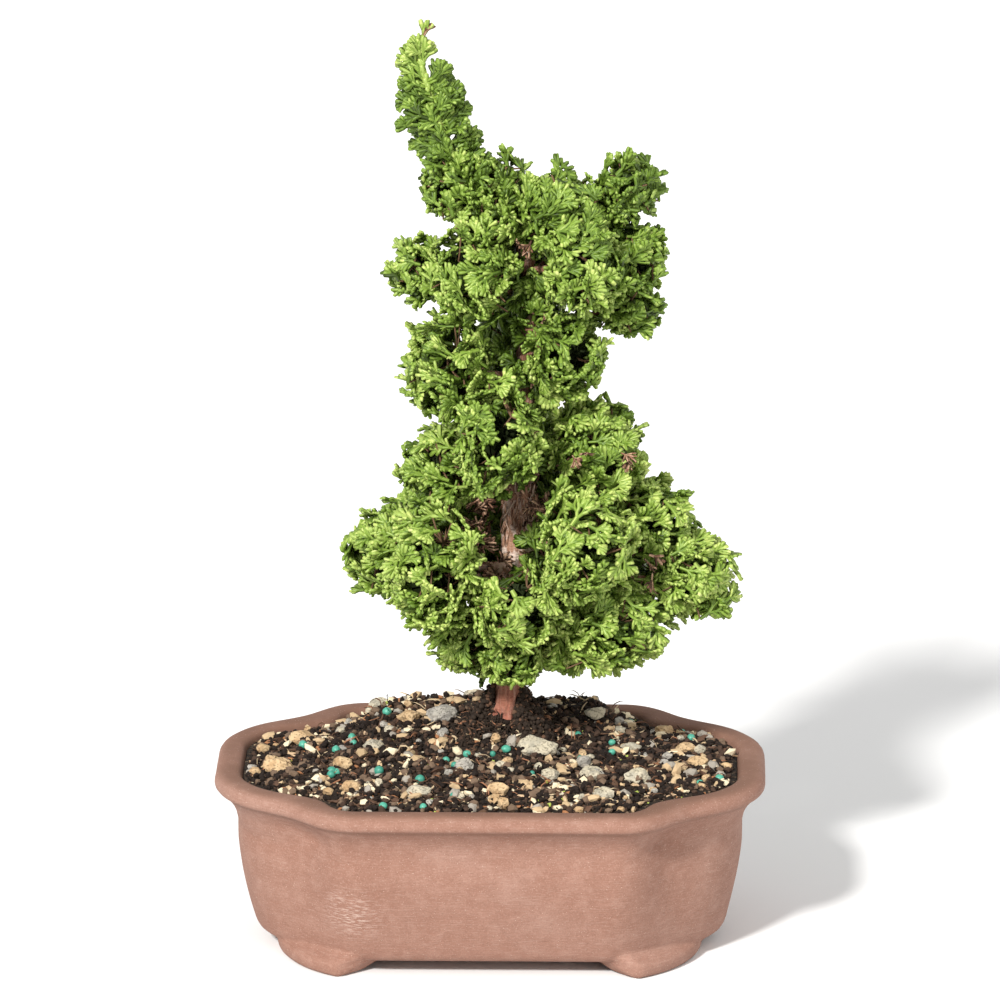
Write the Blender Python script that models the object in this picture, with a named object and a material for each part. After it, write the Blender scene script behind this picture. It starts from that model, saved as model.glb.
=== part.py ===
"""Potted arborvitae, grown as a small bonsai in a shallow clay pot.

Sizes are in millimetres and scaled to metres as each mesh is made. The pot stands on z = 0 with its
middle on the origin, its long side along X and its front towards -Y.
"""

import math
import random
from dataclasses import dataclass

import bmesh
import bpy
import numpy as np

MM = 0.001
GAP = 0.35

# Pot sizes
RIM_TOP = 67.0
FLOOR_TOP = 13.0
UNDERSIDE = 5.0
WALL = 7.0
RIM_WIDTH = 9.9
OUTLINE_POINTS = 48
WALL_UPRIGHT_FROM = 42.0
WALL_CURVE = 1.45

# Feet under the four corners
FOOT_FROM, FOOT_TO = math.radians(9), math.radians(46.5)
FOOT_STATIONS = 8
SOLE_INSET = (2.6, 12.0)

# Soil
SOIL_EDGE = 62.0
SOIL_DOME = 8.5
DOME_REACH = 60.0
SOIL_GAP = 1.5
COLLAR = 12.0
COLLAR_REACH = 15.0
HEAP = 10.0
HEAP_RISE = (2.0, 20.0)
HEAP_BACK = (5.0, 35.0)
HEAP_SIDES = (38.0, 60.0)
GROUND = 81.2
GROUND_RADIUS = 8.6
LUMP_HEIGHT = 1.2
SOIL_RINGS = (0.10, 0.30, 0.50, 0.70, 0.87)

# Foliage
FULLNESS = 1.13
CORE = 0.82
CORE_LUMPS = (0.90, 1.09)
OVERREACH = 1.08
MARGIN = 0.16
LOWEST_LEAF = 83.0
SPRAY_THICKNESS = 1.6
RIDGE = 0.45
SPRAY_SPREAD = math.radians(40)
SPRAY_JITTER = 0.12
SPRAY_TRIES = ((1.06, 1.0), (1.07, 0.7), (1.0, 1.0), (1.0, 0.6), (0.94, 0.8))
ROOT_WIDTH = 0.14
BLUNT = 0.09
ROOT_DEPTH = 2.6
SETTLE = 3.2
TWIG_RADIUS = 0.7
STEM = 1.2
SEED = 41


@dataclass(frozen=True)
class Plan:
    """The pot's outline at one height: a long box with round lobes, blended with a deeper middle panel."""

    half_length: float
    lobe_depth: float
    lobe_radius: float
    panel_width: float
    half_depth: float
    panel_radius: float
    blend: float

    def towards(self, other, share):
        """Returns the plan that lies this share of the way to the other."""
        mixed = {
            name: value + (getattr(other, name) - value) * share
            for name, value in self.__dict__.items()
        }
        return Plan(**mixed)

    def distance(self, x, y):
        """Signed distance from the outline, negative inside."""
        lobes = rounded_box(x, y, self.half_length, self.lobe_depth, self.lobe_radius)
        panel = rounded_box(x, y, self.panel_width, self.half_depth, self.panel_radius)
        near = np.maximum(self.blend - np.abs(lobes - panel), 0) / self.blend
        return np.minimum(lobes, panel) - near * near * self.blend / 4

    def points(self, angles, inset=0.0):
        """The outline at these polar angles, drawn in by the inset, found by halving along each ray."""
        low = np.zeros_like(angles)
        high = np.full_like(angles, 2 * self.half_length)
        for _ in range(30):
            middle = (low + high) / 2
            outside = self.distance(middle * np.cos(angles), middle * np.sin(angles)) + inset > 0
            high = np.where(outside, middle, high)
            low = np.where(outside, low, middle)
        return np.stack([high * np.cos(angles), high * np.sin(angles)], axis=1)


def rounded_box(x, y, half_x, half_y, radius):
    """Signed distance from a rectangle with round corners."""
    qx = np.abs(x) - half_x + radius
    qy = np.abs(y) - half_y + radius
    outside = np.hypot(np.maximum(qx, 0), np.maximum(qy, 0))
    return outside + np.minimum(np.maximum(qx, qy), 0) - radius


RIM = Plan(101.0, 54.5, 40.0, 66.0, 72.5, 18.0, 18.0)
SHOULDER = Plan(92.6, 46.5, 36.0, 59.5, 64.0, 14.0, 18.0)
BASE = Plan(85.4, 38.0, 33.0, 59.5, 51.0, 20.0, 20.0)
FEET = Plan(78.5, 62.0, 46.5, 30.0, 51.0, 20.0, 1.0)


@dataclass(frozen=True)
class Mass:
    """One mass of foliage: its middle, half sizes and tilt about Y, and where its stem leaves the trunk."""

    name: str
    middle: tuple
    reach: tuple
    tilt: float
    leaves_trunk: float
    sprays: int = 13
    bough: tuple = ()


# Each bough is given as (radius at the trunk, radius at its tip, rise of its middle).
MASSES = (
    Mass("leader_tip", (-27.0, 6.0, 335.0), (6.3, 5.0, 12.0), -8, 327, 8),
    Mass("leader_left", (-27.1, 4.0, 305.6), (9.0, 7.0, 14.0), 0, 300, 9),
    Mass("leader_right", (-14.5, 9.0, 309.9), (8.4, 7.5, 18.0), 18, 304, 10),
    Mass("leader_low", (-15.5, 2.0, 283.3), (10.5, 11.0, 12.0), 0, 287, 9),
    Mass("leader_base", (0.9, 13.0, 281.4), (10.5, 12.0, 17.0), 32, 274, 10),
    Mass("leader_neck", (-0.9, -4.0, 270.5), (11.0, 11.0, 8.0), 0, 267, 8),
    Mass("top_middle", (25.8, 0.0, 275.8), (16.0, 15.0, 14.0), 0, 264, 10),
    Mass("top_horn", (50.0, 6.0, 281.5), (9.6, 11.0, 15.6), 0, 246, 10, (1.7, 0.9, 4.0)),
    Mass("upper_right_end", (54.5, 4.0, 255.5), (10.0, 15.0, 11.0), 0, 238, 9, (1.8, 0.9, 3.0)),
    Mass("upper_right_low", (50.6, 0.0, 240.1), (12.8, 14.0, 9.5), -5, 226, 9, (1.7, 0.9, 2.0)),
    Mass("upper_right_front", (34.8, -18.0, 258.8), (14.0, 16.0, 18.0), 0, 250, 10, (1.7, 1.0, 1.0)),
    Mass("upper_left_lobe", (-28.3, 4.0, 251.4), (8.8, 11.0, 14.0), 20, 240, 9, (1.6, 0.9, 2.0)),
    Mass("upper_left", (-7.3, -8.0, 251.9), (14.0, 16.0, 17.5), 0, 250, 10),
    Mass("upper_back", (19.2, 30.0, 247.9), (17.0, 16.0, 16.0), 0, 246, 10),
    Mass("waist_left", (-15.7, -8.0, 216.7), (14.5, 18.0, 22.0), 8, 210, 11, (1.8, 1.1, 1.0)),
    Mass("waist_right", (27.9, -8.0, 223.3), (14.2, 17.0, 16.5), 0, 216, 10),
    Mass("waist_back", (8.3, 28.0, 215.1), (17.0, 16.0, 20.0), 0, 212, 10),
    Mass("centre_front", (4.0, -28.0, 196.9), (14.0, 15.0, 22.0), 0, 186, 11),
    Mass("left_shoulder", (-18.5, 0.0, 177.9), (13.5, 18.0, 18.0), -22, 168, 10),
    Mass("right_shoulder", (40.2, 2.0, 185.6), (19.5, 20.0, 15.0), -38, 172, 11, (2.4, 1.2, 2.0)),
    Mass("shoulder_back", (11.9, 34.0, 174.7), (22.0, 15.0, 24.0), 0, 172, 11),
    Mass("far_left", (-39.0, 0.0, 147.0), (14.8, 17.0, 15.8), -25, 132, 11, (2.5, 1.2, 3.0)),
    Mass("left_front", (-21.1, -26.0, 147.5), (16.0, 18.0, 25.0), 0, 138, 12, (2.2, 1.2, 1.0)),
    Mass("right_outer", (61.1, 8.0, 156.8), (13.5, 18.0, 17.5), 38, 146, 10, (2.4, 1.1, 3.0)),
    Mass("far_right", (76.2, 0.0, 137.1), (15.8, 14.0, 14.5), 12, 128, 11, (2.6, 1.0, 5.0)),
    Mass("right_front", (35.9, -30.0, 157.6), (17.0, 17.0, 21.0), 0, 146, 12, (2.2, 1.2, 1.0)),
    Mass("low_right", (46.3, -8.0, 120.2), (27.5, 20.0, 14.5), 22, 112, 12, (2.4, 1.2, 2.0)),
    Mass("low_front", (10.5, -28.0, 134.2), (18.0, 14.0, 14.5), 0, 124, 10),
    Mass("low_left", (-10.0, -8.0, 113.0), (14.5, 14.0, 10.0), -35, 104, 9),
    Mass("low_middle", (8.0, -12.0, 107.4), (10.5, 10.0, 10.0), 0, 98, 8),
    Mass("back_left", (-16.5, 34.0, 140.0), (24.0, 17.0, 25.0), 0, 132, 11, (2.2, 1.2, 1.0)),
    Mass("back_right", (41.1, 34.0, 139.2), (27.0, 18.0, 23.0), 0, 130, 11, (2.2, 1.2, 1.0)),
    Mass("low_back", (17.6, 28.0, 108.2), (24.0, 16.0, 14.0), 0, 104, 10),
)

# The trunk's axis from the ground to its tip, and its radius there.
TRUNK = (
    ((6.0, 8.0, 81.6), 5.9),
    ((6.3, 8.0, 86.0), 5.1),
    ((7.3, 8.0, 98.0), 4.9),
    ((8.2, 7.2, 122.0), 5.0),
    ((8.9, 6.4, 146.0), 5.0),
    ((10.0, 6.0, 168.0), 4.7),
    ((11.4, 6.2, 192.0), 4.1),
    ((12.6, 6.8, 216.0), 3.5),
    ((14.2, 7.2, 238.0), 3.0),
    ((13.4, 7.0, 256.0), 2.6),
    ((7.0, 5.6, 269.0), 2.2),
    ((-3.4, 4.6, 279.4), 1.9),
    ((-12.0, 4.4, 290.0), 1.6),
    ((-18.0, 5.0, 303.0), 1.3),
    ((-22.4, 5.6, 316.0), 1.0),
    ((-24.8, 6.0, 326.3), 0.8),
)
TRUNK_SIDES = 12
BOUGH_POINTS = 6
CUTTER_SIDES = 6
STEP_OUT = 0.2
ENTRY = 0.86

# Large stones that stand out of the soil: x, y, half length, half height
STONES = (
    (-19.0, 24.0, 6.0, 3.2),
    (17.5, -5.0, 7.4, 4.0),
    (-70.0, 18.0, 5.0, 2.6),
    (-78.0, -12.0, 5.6, 2.8),
    (-31.0, 22.0, 4.4, 2.4),
    (54.0, -27.0, 5.2, 2.8),
    (-42.0, 48.0, 4.2, 2.4),
    (-7.5, 43.0, 4.0, 2.4),
    (3.4, -43.0, 4.2, 2.5),
    (21.6, -26.0, 3.8, 2.3),
    (36.5, -21.0, 4.4, 2.4),
    (42.0, -44.0, 4.4, 2.5),
    (64.0, 33.0, 4.0, 2.3),
    (51.6, 4.0, 3.9, 2.3),
    (72.0, 14.0, 3.8, 2.2),
    (76.0, -8.0, 3.8, 2.2),
    (-25.0, -45.0, 4.6, 2.6),
    (-54.6, -13.0, 4.0, 2.3),
    (-43.0, 2.0, 4.0, 2.3),
    (-50.0, -39.0, 4.0, 2.3),
    (-10.0, -17.0, 4.0, 2.4),
    (38.0, 27.0, 4.0, 2.3),
)


def clear_scene():
    """Removes everything that the startup scene holds."""
    for obj in list(bpy.data.objects):
        bpy.data.objects.remove(obj)


def finish(name, colour, roughness):
    """Returns a Principled BSDF material of one colour."""
    made = bpy.data.materials.new(name)
    made.use_nodes = True
    shader = made.node_tree.nodes["Principled BSDF"]
    shader.inputs["Base Color"].default_value = (*colour, 1.0)
    shader.inputs["Roughness"].default_value = roughness
    shader.inputs["Metallic"].default_value = 0.0
    return made


def object_from(name, bm, material=None):
    """Turns a bmesh drawn in millimetres into a named object in metres."""
    bmesh.ops.recalc_face_normals(bm, faces=bm.faces)
    bmesh.ops.scale(bm, vec=(MM, MM, MM), verts=bm.verts)
    mesh = bpy.data.meshes.new(name)
    bm.to_mesh(mesh)
    bm.free()
    if material:
        mesh.materials.append(material)
    obj = bpy.data.objects.new(name, mesh)
    bpy.context.scene.collection.objects.link(obj)
    return obj


def lofted(rings):
    """Returns a bmesh with the rings of points bridged in turn and both ends closed by flat faces."""
    bm = bmesh.new()
    loops = []
    for ring in rings:
        verts = [bm.verts.new(point) for point in ring]
        loops.append([bm.edges.new((a, b)) for a, b in zip(verts, verts[1:] + verts[:1])])
        if len(loops) == 1:
            bm.faces.new(verts)
    bm.faces.new(verts)
    for low, high in zip(loops, loops[1:]):
        bmesh.ops.bridge_loops(bm, edges=low + high)
    return bm


def combine(target, others, operation="UNION"):
    """Joins the others to the target, or cuts them from it, with one Boolean, then removes them."""
    group = bpy.data.collections.new(target.name + "_pieces")
    bpy.context.scene.collection.children.link(group)
    for other in others:
        bpy.context.scene.collection.objects.unlink(other)
        group.objects.link(other)
    boolean = target.modifiers.new("combine", "BOOLEAN")
    boolean.operation = operation
    boolean.solver = "MANIFOLD"
    boolean.operand_type = "COLLECTION"
    boolean.collection = group
    graph = bpy.context.evaluated_depsgraph_get()
    joined = bpy.data.meshes.new_from_object(target.evaluated_get(graph))
    target.modifiers.clear()
    target.data = joined
    for other in others:
        bpy.data.objects.remove(other)
    bpy.data.collections.remove(group)


def keep_largest_body(obj):
    """Drops loose scraps and fills sealed hollows: only the largest closed surface stays."""
    bm = bmesh.new()
    bm.from_mesh(obj.data)
    left = set(bm.verts)
    bodies = []
    while left:
        body = set()
        edge_of = [left.pop()]
        while edge_of:
            vert = edge_of.pop()
            body.add(vert)
            near = {edge.other_vert(vert) for edge in vert.link_edges} & left
            left -= near
            edge_of.extend(near)
        bodies.append(body)
    bodies.sort(key=box_size, reverse=True)
    for body in bodies[1:]:
        bmesh.ops.delete(bm, geom=list(body), context="VERTS")
    bm.to_mesh(obj.data)
    bm.free()


def box_size(verts):
    """Size of the box round these vertices, summed over its sides."""
    points = np.array([vert.co for vert in verts])
    return float(np.ptp(points, axis=0).sum())


def ring_angles(count):
    """Polar angles that space points about evenly round the pot's long outline."""
    turn = np.arange(count) * 2 * math.pi / count
    return np.arctan2(0.80 * np.sin(turn), np.cos(turn))


def pot_ring(plan, inset, height, angles):
    """One level ring of points round the pot."""
    points = plan.points(angles, inset)
    return [(x, y, height) for x, y in points]


def wall_plan(height):
    """The wall's outline at this height: upright above, drawn in by an even curve below."""
    share = (WALL_UPRIGHT_FROM - height) / (WALL_UPRIGHT_FROM - UNDERSIDE + 1.0)
    return SHOULDER.towards(BASE, min(max(share, 0.0), 1.0) ** WALL_CURVE)


def build_pot(clay):
    """The clay pot: a lipped bowl with four feet."""
    angles = ring_angles(OUTLINE_POINTS)
    rings = [pot_ring(wall_plan(UNDERSIDE), 3.2, UNDERSIDE, angles)]
    rings.append(pot_ring(wall_plan(UNDERSIDE + 1.3), 0.8, UNDERSIDE + 1.3, angles))
    for height in (9.0, 15.0, 23.0, 34.0, 52.0):
        rings.append(pot_ring(wall_plan(height), 0.0, height, angles))
    lip = ((6.8, -10.6), (2.6, -7.4), (0.0, -4.6), (0.6, -1.4), (2.8, 0.0), (8.0, -0.2))
    for inset, drop in lip:
        rings.append(pot_ring(RIM, inset, RIM_TOP + drop, angles))
    rings.append(pot_ring(RIM, RIM_WIDTH, RIM_TOP - 1.2, angles))
    rings.append(pot_ring(RIM, RIM_WIDTH + 0.9, SOIL_EDGE, angles))
    for height in (50.0, 24.0, 16.0):
        rings.append(pot_ring(wall_plan(height), WALL, height, angles))
    rings.append(pot_ring(wall_plan(FLOOR_TOP), WALL + 4.0, FLOOR_TOP, angles))
    pot = object_from("pot", lofted(rings), clay)
    feet = [build_foot(*side) for side in ((1, 1), (-1, 1), (1, -1), (-1, -1))]
    combine(pot, feet)
    return pot


def build_foot(side_x, side_y):
    """One foot, following the pot's corner, with slanted ends and a flat sole."""
    middle = (FOOT_FROM + FOOT_TO) / 2
    section = (
        (9.0, UNDERSIDE + 3.6, 1.10),
        (2.4, UNDERSIDE + 2.0, 1.09),
        (0.2, UNDERSIDE - 0.4, 1.05),
        (0.8, 1.2, 0.95),
        (SOLE_INSET[0], 0.0, 0.90),
        (SOLE_INSET[1], 0.0, 0.90),
        (SOLE_INSET[1] + 4.0, UNDERSIDE + 3.6, 1.10),
    )
    rings = []
    for station in range(FOOT_STATIONS):
        along = FOOT_FROM + (FOOT_TO - FOOT_FROM) * station / (FOOT_STATIONS - 1)
        ring = []
        for inset, height, stretch in section:
            angle = np.array([middle + (along - middle) * stretch])
            x, y = FEET.points(angle, inset)[0]
            ring.append((side_x * x, side_y * y, height))
        rings.append(ring)
    return object_from("foot", lofted(rings))


def eased(value, low, high):
    """Rises smoothly from 0 at low to 1 at high."""
    share = np.clip((value - low) / (high - low), 0, 1)
    return share * share * (3 - 2 * share)


def soil_height(x, y):
    """Height of the soil's surface: a lumpy dome, heaped behind the trunk, with a collar round the trunk."""
    edge = np.clip(-RIM.distance(x, y) / DOME_REACH, 0, 1)
    away = np.hypot(x - TRUNK[0][0][0], y - TRUNK[0][0][1])
    collar = np.exp(-((away / COLLAR_REACH) ** 2))
    lumps = np.cos(x / 6.3 + 0.8) * np.cos(y / 5.6 + 0.4) + 0.6 * np.cos((x + 1.7 * y) / 9.0)
    fade = np.clip(4 * edge - 0.9, 0, 1) * (1 - collar)
    inward = -RIM.distance(x, y) - RIM_WIDTH - SOIL_GAP
    heap = eased(inward, *HEAP_RISE) * eased(y, *HEAP_BACK) * (1 - eased(np.abs(x), *HEAP_SIDES))
    dome = SOIL_EDGE + SOIL_DOME * np.sqrt(edge) + HEAP * heap
    return dome + COLLAR * collar + LUMP_HEIGHT * lumps * fade


def build_soil(earth):
    """The soil that fills the pot, with a flat seat for the trunk, low lumps and the largest stones."""
    angles = ring_angles(OUTLINE_POINTS)
    rings = [pot_ring(wall_plan(FLOOR_TOP), WALL + 5.0, FLOOR_TOP + GAP, angles)]
    for height in (16.0, 24.0, 50.0):
        rings.append(pot_ring(wall_plan(height), WALL + SOIL_GAP, height, angles))
    edge = np.array(pot_ring(RIM, RIM_WIDTH + SOIL_GAP, SOIL_EDGE, angles))
    rings.append([tuple(point) for point in edge])
    foot = np.array(TRUNK[0][0][:2])
    for share in SOIL_RINGS:
        ring = []
        for point in edge[:, :2]:
            out = point - foot
            inner = foot + out * GROUND_RADIUS / np.linalg.norm(out)
            x, y = point + (inner - point) * share
            ring.append((x, y, float(soil_height(x, y))))
        rings.append(ring)
    flat = []
    for point in edge[:, :2]:
        out = point - foot
        x, y = foot + out * GROUND_RADIUS / np.linalg.norm(out)
        flat.append((x, y, GROUND))
    rings.append(flat)
    soil = object_from("soil", lofted(rings), earth)
    combine(soil, [build_stone(index, *stone) for index, stone in enumerate(STONES)])
    return soil


def build_stone(index, x, y, half_length, half_height):
    """One rough stone, half sunk in the soil."""
    rng = random.Random(SEED + index)
    bm = bmesh.new()
    bmesh.ops.create_icosphere(bm, subdivisions=1, radius=1.0)
    middle = float(soil_height(x, y)) + half_height * 0.2
    for vert in bm.verts:
        rough = rng.uniform(0.85, 1.1)
        vert.co.x = x + vert.co.x * half_length * rough
        vert.co.y = y + vert.co.y * half_length * 0.75 * rough
        vert.co.z = middle + vert.co.z * half_height * rough
    return object_from("stone", bm)


class Limb:
    """A trunk or bough: points along its axis with a radius at each."""

    def __init__(self, points, radii):
        self.points = np.array(points, float)
        self.radii = np.array(radii, float)

    def at_height(self, height):
        """The axis point and radius at this height."""
        heights = self.points[:, 2]
        point = [np.interp(height, heights, self.points[:, axis]) for axis in range(3)]
        return np.array(point), float(np.interp(height, heights, self.radii))

    def clearance(self, point):
        """Distance from the point to the limb's surface."""
        start = self.points[:-1]
        along = self.points[1:] - start
        share = ((point - start) * along).sum(1) / (along * along).sum(1)
        share = np.clip(share, 0, 1)[:, None]
        nearest = np.linalg.norm(point - (start + along * share), axis=1)
        radius = self.radii[:-1] + (self.radii[1:] - self.radii[:-1]) * share[:, 0]
        return float((nearest - radius).min())

    def away_from(self, point):
        """Unit heading from the limb's nearest axis point to this point."""
        start = self.points[:-1]
        along = self.points[1:] - start
        share = np.clip(((point - start) * along).sum(1) / (along * along).sum(1), 0, 1)[:, None]
        lines = point - (start + along * share)
        line = lines[np.argmin(np.linalg.norm(lines, axis=1))]
        return line / max(np.linalg.norm(line), 1e-6)

    def passes(self, space):
        """Whether the limb comes near enough to a mass's room to touch its core."""
        steps = np.r_[0, np.cumsum(np.linalg.norm(np.diff(self.points, axis=0), axis=1))]
        places = np.arange(0, steps[-1] + 1, 1.0)
        points = np.stack([np.interp(places, steps, self.points[:, axis]) for axis in range(3)], 1)
        away = np.linalg.norm((points - space.middle) @ space.to_ball.T, axis=1)
        return bool(away.min() < OVERREACH)


def build_trunk(bark):
    """The trunk, flat at the ground, with a small root flare and a bent leader."""
    trunk = Limb([point for point, _ in TRUNK], [radius for _, radius in TRUNK])
    rings = []
    for index, (point, radius) in enumerate(zip(trunk.points, trunk.radii)):
        if index == 0:
            ahead = np.array([0.0, 0.0, 1.0])
        else:
            ahead = trunk.points[min(index + 1, len(TRUNK) - 1)] - trunk.points[index - 1]
        rings.append(ring_round(point, ahead, radius, TRUNK_SIDES))
    object_from("trunk", lofted(rings), bark)
    return trunk


def side_axes(ahead):
    """Two unit vectors square to the way ahead, the first as near X as it can be."""
    ahead = ahead / np.linalg.norm(ahead)
    across = np.array([1.0, 0.0, 0.0]) - ahead[0] * ahead
    if np.linalg.norm(across) < 0.2:
        across = np.array([0.0, 1.0, 0.0]) - ahead[1] * ahead
    across /= np.linalg.norm(across)
    return across, np.cross(ahead, across)


def ring_round(middle, ahead, radius, sides):
    """A ring of points round a limb's axis, square to the way ahead."""
    across, over = side_axes(ahead)
    turns = [2 * math.pi * side / sides for side in range(sides)]
    return [tuple(middle + radius * (math.cos(t) * across + math.sin(t) * over)) for t in turns]


def build_bough(space, trunk, bark):
    """A tapering limb from just off the trunk to where it enters its mass."""
    mass = space.mass
    thick, thin, rise = mass.bough
    start, trunk_radius = trunk.at_height(mass.leaves_trunk)
    heading = space.middle - start
    heading[2] += 2 * rise
    heading /= np.linalg.norm(heading)
    start = start + heading * (trunk_radius + GAP)
    while min(trunk.clearance(point) for point in ring_round(start, heading, thick, 8)) < GAP:
        start = start + heading * STEP_OUT
    inward = space.entry(start)
    centre = (start + inward) / 2 + np.array([0.0, 0.0, rise])
    shares = np.linspace(0, 1, BOUGH_POINTS)[:, None]
    route = (1 - shares) ** 2 * start + 2 * shares * (1 - shares) * centre + shares ** 2 * inward
    radii = thick + (thin - thick) * shares[:, 0]
    curve = bpy.data.curves.new("bough_" + mass.name, "CURVE")
    curve.dimensions = "3D"
    curve.bevel_depth = MM
    curve.bevel_resolution = 1
    curve.use_fill_caps = True
    spline = curve.splines.new("POLY")
    spline.points.add(len(route) - 1)
    for point, place, radius in zip(spline.points, route, radii):
        point.co = (*(place * MM), 1.0)
        point.radius = radius
    curve.materials.append(bark)
    obj = bpy.data.objects.new("bough_" + mass.name, curve)
    bpy.context.scene.collection.objects.link(obj)
    return Limb(route, radii)


class Space:
    """The convex room that one mass keeps to: an ellipsoid cut by planes between it and its neighbours."""

    def __init__(self, mass):
        tilt = math.radians(mass.tilt)
        self.mass = mass
        self.middle = np.array(mass.middle, float)
        turn = np.array([
            [math.cos(tilt), 0, math.sin(tilt)],
            [0, 1, 0],
            [-math.sin(tilt), 0, math.cos(tilt)],
        ])
        self.to_ball = turn / (FULLNESS * np.array(mass.reach, float))[:, None]
        self.normals = np.zeros((0, 3))
        self.offsets = np.zeros(0)

    def radius_along(self, heading):
        """Distance from the middle to the ellipsoid's surface along a unit heading."""
        return 1.0 / np.linalg.norm(self.to_ball @ heading)

    def add_plane(self, normal, offset):
        """Keeps this mass to the side where normal . point is at most the offset."""
        self.normals = np.vstack([self.normals, normal])
        self.offsets = np.append(self.offsets, offset)

    def part_from(self, other, trunk):
        """Sets a plane between two masses, by their radii, or at the trunk where that is between them."""
        line = other.middle - self.middle
        length = np.linalg.norm(line)
        line /= length
        mine = self.radius_along(line)
        theirs = other.radius_along(line)
        place = length * mine / (mine + theirs)
        if length > mine + theirs:
            axis = trunk.at_height((self.middle[2] + other.middle[2]) / 2)[0]
            place = float(np.clip(line @ (axis - self.middle), mine, length - theirs))
        self.add_plane(line, float(line @ self.middle) + place - MARGIN)

    def inside_planes(self, points, slack=0.0):
        """Whether every point lies on this mass's side of every plane."""
        return bool((self.normals @ np.atleast_2d(points).T <= self.offsets[:, None] - slack).all())

    def inside(self, points):
        """Whether every point lies within reach of the ellipsoid and on this side of the planes."""
        reach = np.linalg.norm((np.atleast_2d(points) - self.middle) @ self.to_ball.T, axis=1)
        return bool((reach <= OVERREACH).all()) and self.inside_planes(points)

    def shell_and_wall(self, start, heading):
        """How far a ray runs before it leaves the ellipsoid, and before it meets a plane."""
        ball_start = self.to_ball @ (start - self.middle)
        ball_heading = self.to_ball @ heading
        a = float(ball_heading @ ball_heading)
        b = float(ball_start @ ball_heading)
        c = float(ball_start @ ball_start) - 1
        shell = (-b + math.sqrt(max(b * b - a * c, 0))) / a
        rate = self.normals @ heading
        room = self.offsets - self.normals @ start
        ahead = rate > 1e-9
        wall = float((room[ahead] / rate[ahead]).min()) if ahead.any() else math.inf
        return shell, wall

    def exit(self, start, heading):
        """How far a ray runs before it leaves the room, and whether it leaves by the ellipsoid."""
        shell, wall = self.shell_and_wall(start, heading)
        return min(shell, wall), shell <= wall

    def entry(self, start):
        """Where a line from outside enters the room, a little past its edge."""
        heading = start - self.middle
        heading /= np.linalg.norm(heading)
        far = self.exit(self.middle, heading)[0]
        return self.middle + heading * far * ENTRY


def build_core(space, centre, limbs, rng):
    """The shaded inside of a dense mass: a lumpy ball within its room, with each limb's way cut clear."""
    bm = bmesh.new()
    bmesh.ops.create_icosphere(bm, subdivisions=2, radius=1.0)
    for vert in bm.verts:
        heading = np.array(vert.co)
        heading /= np.linalg.norm(heading)
        shell, wall = space.shell_and_wall(centre, heading)
        vert.co = centre + heading * min(shell * CORE * rng.uniform(*CORE_LUMPS), wall)
    core = object_from(space.mass.name, bm)
    cutters = [limb_cutter(limb) for limb in limbs if limb.passes(space)]
    if cutters:
        combine(core, cutters, "DIFFERENCE")
        keep_largest_body(core)
    return core


def limb_cutter(limb):
    """A tube a little wider and longer than the limb."""
    rings = []
    last = len(limb.points) - 1
    for index, (point, radius) in enumerate(zip(limb.points, limb.radii)):
        ahead = limb.points[min(index + 1, last)] - limb.points[max(index - 1, 0)]
        ahead /= np.linalg.norm(ahead)
        beyond = {0: -GAP, last: GAP}.get(index, 0.0)
        wide = (radius + GAP) / math.cos(math.pi / CUTTER_SIDES) + 0.05
        rings.append(ring_round(point + ahead * beyond, ahead, wide, CUTTER_SIDES))
    return object_from("cutter", lofted(rings))


def tube(start, end, thick, thin, sides):
    """The end rings of a straight twig with few sides."""
    ends = ((start, thick), (end, thin))
    return [ring_round(point, end - start, radius, sides) for point, radius in ends]


def spray_outline(length, spread):
    """A fan of three fingers from one root, as (along, across) pairs."""
    outline = [(0.0, -ROOT_WIDTH * length)]
    left = ((-spread, 0.84), (-spread / 2, 0.60), (-BLUNT, 1.0))
    right = ((BLUNT, 1.0), (spread / 2, 0.62), (spread, 0.88))
    for angle, share in left + right:
        out = length * share
        outline.append((out * math.cos(angle), out * math.sin(angle)))
    outline.append((0.0, ROOT_WIDTH * length))
    return outline


def spray_points(root, heading, across, length, spread):
    """A spray's outline, and the ridge point above its root that gives it thickness."""
    flat = [root + along * heading + side * across for along, side in spray_outline(length, spread)]
    ridge = root + RIDGE * length * heading + np.cross(heading, across) * SPRAY_THICKNESS
    return np.array(flat + [ridge])


def clear_of(limbs, points, distance):
    """Whether every point keeps this far from every limb."""
    return all(limb.clearance(point) > distance for limb in limbs for point in points)


def grow_sprays(space, centre, limbs, rng):
    """Yields each spray of a mass by a seeded rule: headings even over a ball, from the core outwards."""
    wanted = space.mass.sprays
    count = wanted
    found = []
    while count <= 5 * wanted:
        found = [heading for heading in even_headings(count) if space.exit(centre, heading)[1]]
        if len(found) >= wanted:
            break
        count += 1
    for heading in found:
        heading = heading + np.array([rng.uniform(-SPRAY_JITTER, SPRAY_JITTER) for _ in range(3)])
        heading /= np.linalg.norm(heading)
        shell, wall = space.shell_and_wall(centre, heading)
        root_at = min(shell * CORE, wall) - ROOT_DEPTH
        twist = rng.uniform(0, math.pi)
        first, second = side_axes(heading)
        across = math.cos(twist) * first + math.sin(twist) * second
        for reach, spread in SPRAY_TRIES:
            length = shell * reach - root_at
            root = centre + heading * root_at
            points = spray_points(root, heading, across, length, spread * SPRAY_SPREAD)
            middles = (points + root) / 2
            if space.inside(points) and clear_of(limbs, np.vstack([points, middles]), GAP):
                yield points
                break


def even_headings(count):
    """Unit vectors spread evenly over a ball."""
    golden = math.pi * (3 - math.sqrt(5))
    for index in range(count):
        height = 1 - 2 * (index + 0.5) / count
        ring = math.sqrt(1 - height * height)
        yield np.array([ring * math.cos(golden * index), ring * math.sin(golden * index), height])


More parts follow.
